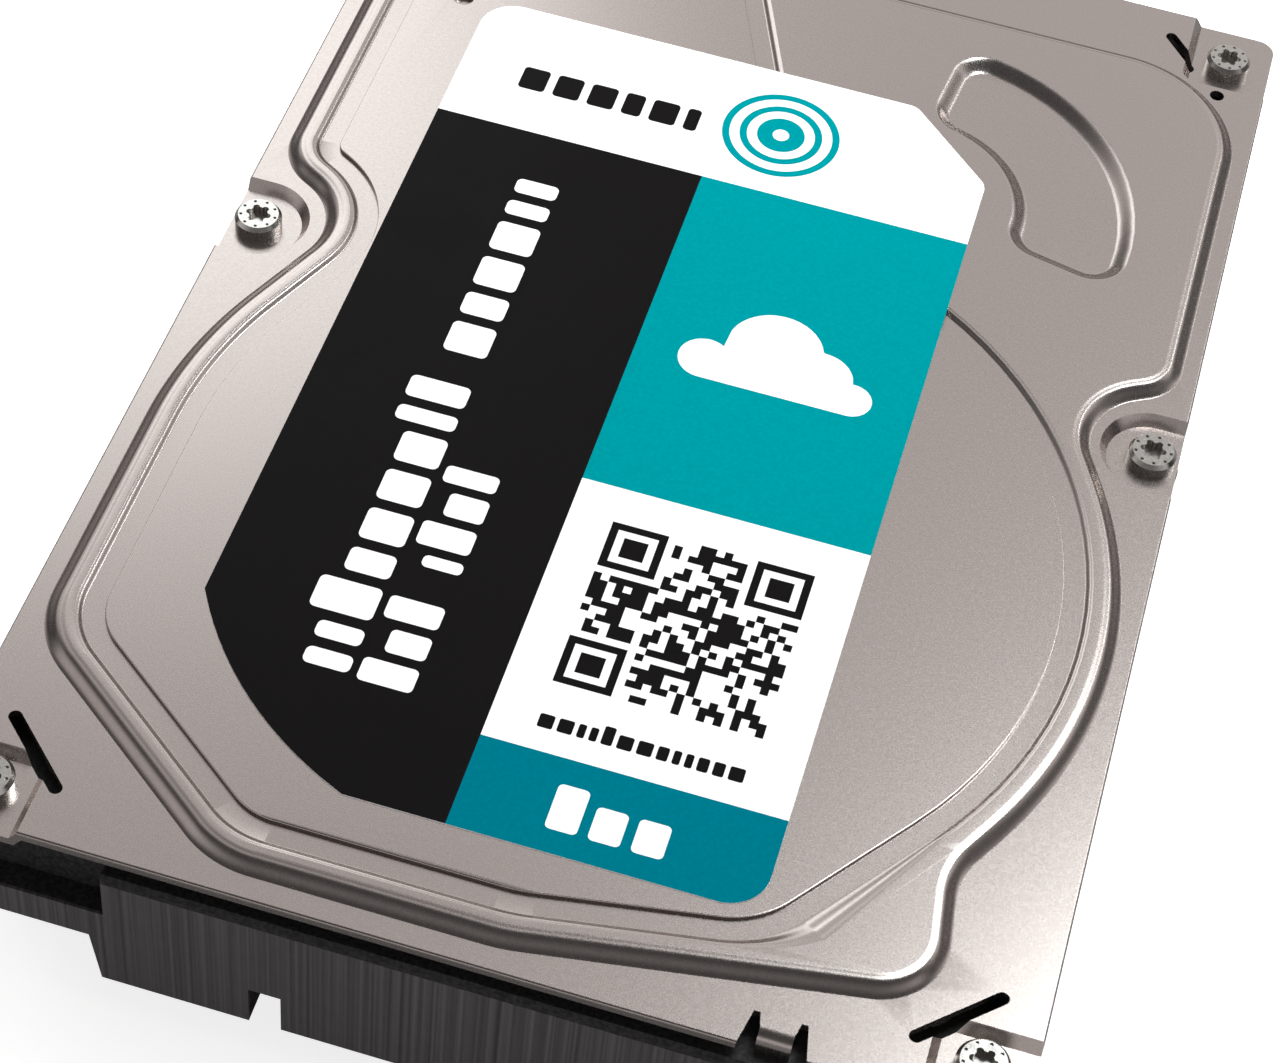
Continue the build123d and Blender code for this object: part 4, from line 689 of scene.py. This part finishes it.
def printed(name, outlines, layer, finish):
    """Ink on the label: each outline becomes a plate one layer thick with a closed edge."""
    points, faces, count = [], [], 0
    low = LABEL_HIGH + (layer - 1) * INK_T
    for outline in outlines:
        area = (outline[:, 0] * np.roll(outline[:, 1], -1) - outline[:, 1] * np.roll(outline[:, 0], -1)).sum()
        outline = outline if area > 0 else outline[::-1]
        m = len(outline)
        for z in (low, low + INK_T):
            points.append(np.column_stack([outline, np.full(m, z)]))
        under = np.arange(m) + count
        onward = np.roll(under, -1)
        faces += [tuple(under[::-1].tolist()), tuple((under + m).tolist())]
        faces += np.stack([under, onward, onward + m, under + m], 1).tolist()
        count += 2 * m
    return label_piece(name, np.concatenate(points) * MM, faces, finish)


def label_piece(name, points, faces, finish):
    """Puts a mesh on the label and gives it its finish."""
    mesh = bpy.data.meshes.new(name)
    mesh.from_pydata(points, [], faces)
    mesh.materials.append(finish)
    piece = bpy.data.objects.new(name, mesh)
    bpy.context.scene.collection.objects.link(piece)
    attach(piece, "chassis")
    return piece


def code_block(x, y, width, finish, cells=25):
    """A square of seeded black and white cells with a framed square in three corners. It holds no
    message. Black cells share the points of one lattice, with walls only where they meet white."""
    dark = np.random.default_rng(35).random((cells, cells)) < 0.5
    step = np.arange(7)
    reach = np.maximum(np.abs(step[:, None] - 3), np.abs(step - 3))
    mark = np.pad((reach != 2), 1)
    for column, row in ((0, 0), (0, cells - 7), (cells - 7, cells - 7)):
        c0, r0 = max(column - 1, 0), max(row - 1, 0)
        c1, r1 = min(column + 8, cells), min(row + 8, cells)
        dark[c0:c1, r0:r1] = mark[c0 - column + 1:c1 - column + 1, r0 - row + 1:r1 - row + 1]
    lattice = np.arange((cells + 1) ** 2).reshape(cells + 1, cells + 1)
    sw, se, ne, nw = lattice[:-1, :-1], lattice[1:, :-1], lattice[1:, 1:], lattice[:-1, 1:]
    up = (cells + 1) ** 2
    padded = np.pad(dark, 1)
    faces = [np.stack([a[dark] + up for a in (sw, se, ne, nw)], 1),
             np.stack([a[dark] for a in (nw, ne, se, sw)], 1)]
    for a, b, beyond in ((sw, se, padded[1:-1, :-2]), (se, ne, padded[2:, 1:-1]),
                         (ne, nw, padded[1:-1, 2:]), (nw, sw, padded[:-2, 1:-1])):
        wall = dark & ~beyond
        faces.append(np.stack([a[wall], b[wall], b[wall] + up, a[wall] + up], 1))
    faces = np.concatenate(faces)
    spots = np.stack(np.meshgrid(*[np.linspace(0, width, cells + 1)] * 2, indexing="ij"), -1).reshape(-1, 2)
    points = np.concatenate([np.column_stack([spots + (x, y), np.full(up, LABEL_HIGH + rise)])
                             for rise in (0.0, INK_T)])
    used, faces = np.unique(faces, return_inverse=True)
    return label_piece("label_code_block", points[used] * MM, faces.reshape(-1, 4).tolist(), finish)


def print_label():
    """The coloured panels of the label and the plain marks on them."""
    inks = {}
    for ink, colour, sheen in INKS:
        inks[ink], shader = new_finish(ink, colour, roughness=INK_GLOSS, Specular_IOR_Level=sheen)
        shade = np.array(colour)
        add_grain(inks[ink], shader, grain=2500.0, mottle=150.0, rough=(INK_GLOSS - 0.05, INK_GLOSS + 0.06),
                  colours=(tuple(shade * 0.95), tuple(np.minimum(shade * 1.05, 1))), bump=0.03)
    left, right, near = -SIDE, SIDE, NEAR
    printed("label_black_panel", [label_zone(left, COLUMN_X, near, HEAD_Y)], 1, inks["ink_black"])
    printed("label_teal_panel", [label_zone(COLUMN_X, right, TEAL_LOW_Y, HEAD_Y)], 1, inks["ink_teal"])
    printed("label_foot_band", [label_zone(COLUMN_X, right, near, FOOT_Y)], 1, inks["ink_deep_teal"])
    rings = [half for outer, inner in MARK_RINGS for half in ring(MARK_AT, outer, inner)]
    printed("label_ring_mark", rings, 1, inks["ink_teal"])
    printed("label_cloud", [cloud(-1.0, -1.0, 20.3, 11.0)], 2, inks["ink_white"])
    white = (word_bars(-47.7, 38.5, -19.0, 6.2, 11, upright=False)
             + word_bars(-6.2, 27.2, -19.0, 6.2, 12, upright=False)
             + word_bars(-48.0, 11.5, -12.8, 5.4, 13, upright=False)
             + word_bars(-33.4, 13.9, -12.8, 5.4, 14, upright=False)
             + word_bars(3.0, 12.0, -58.0, 5.0, 15))
    printed("label_white_bars", white, 2, inks["ink_white"])
    black = word_bars(-28.0, 21.0, 33.2, 4.6, 16) + word_bars(-0.9, 20.0, -47.6, 2.1, 17)
    printed("label_black_bars", black, 1, inks["ink_black"])
    code_block(-1.0, -42.2, 20.2, inks["ink_black"])


bpy.context.scene.view_settings.view_transform = "Standard"
make_camera()
make_shared_grain()
lay_floor()
light_the_studio()
finishes = make_finishes()

SKINNED = ("top_cover", "base_casting", "cover_screws", "sata_connector", "jumper_block",
           "circuit_board", "board_screws", "connector_contacts")
for name, piece in nodes.items():
    piece.data.materials.clear()
    piece.data.materials.append(finishes[slot_of[name]])
for name in SKINNED:
    smooth_skin(name)
press_cover()
print_label()
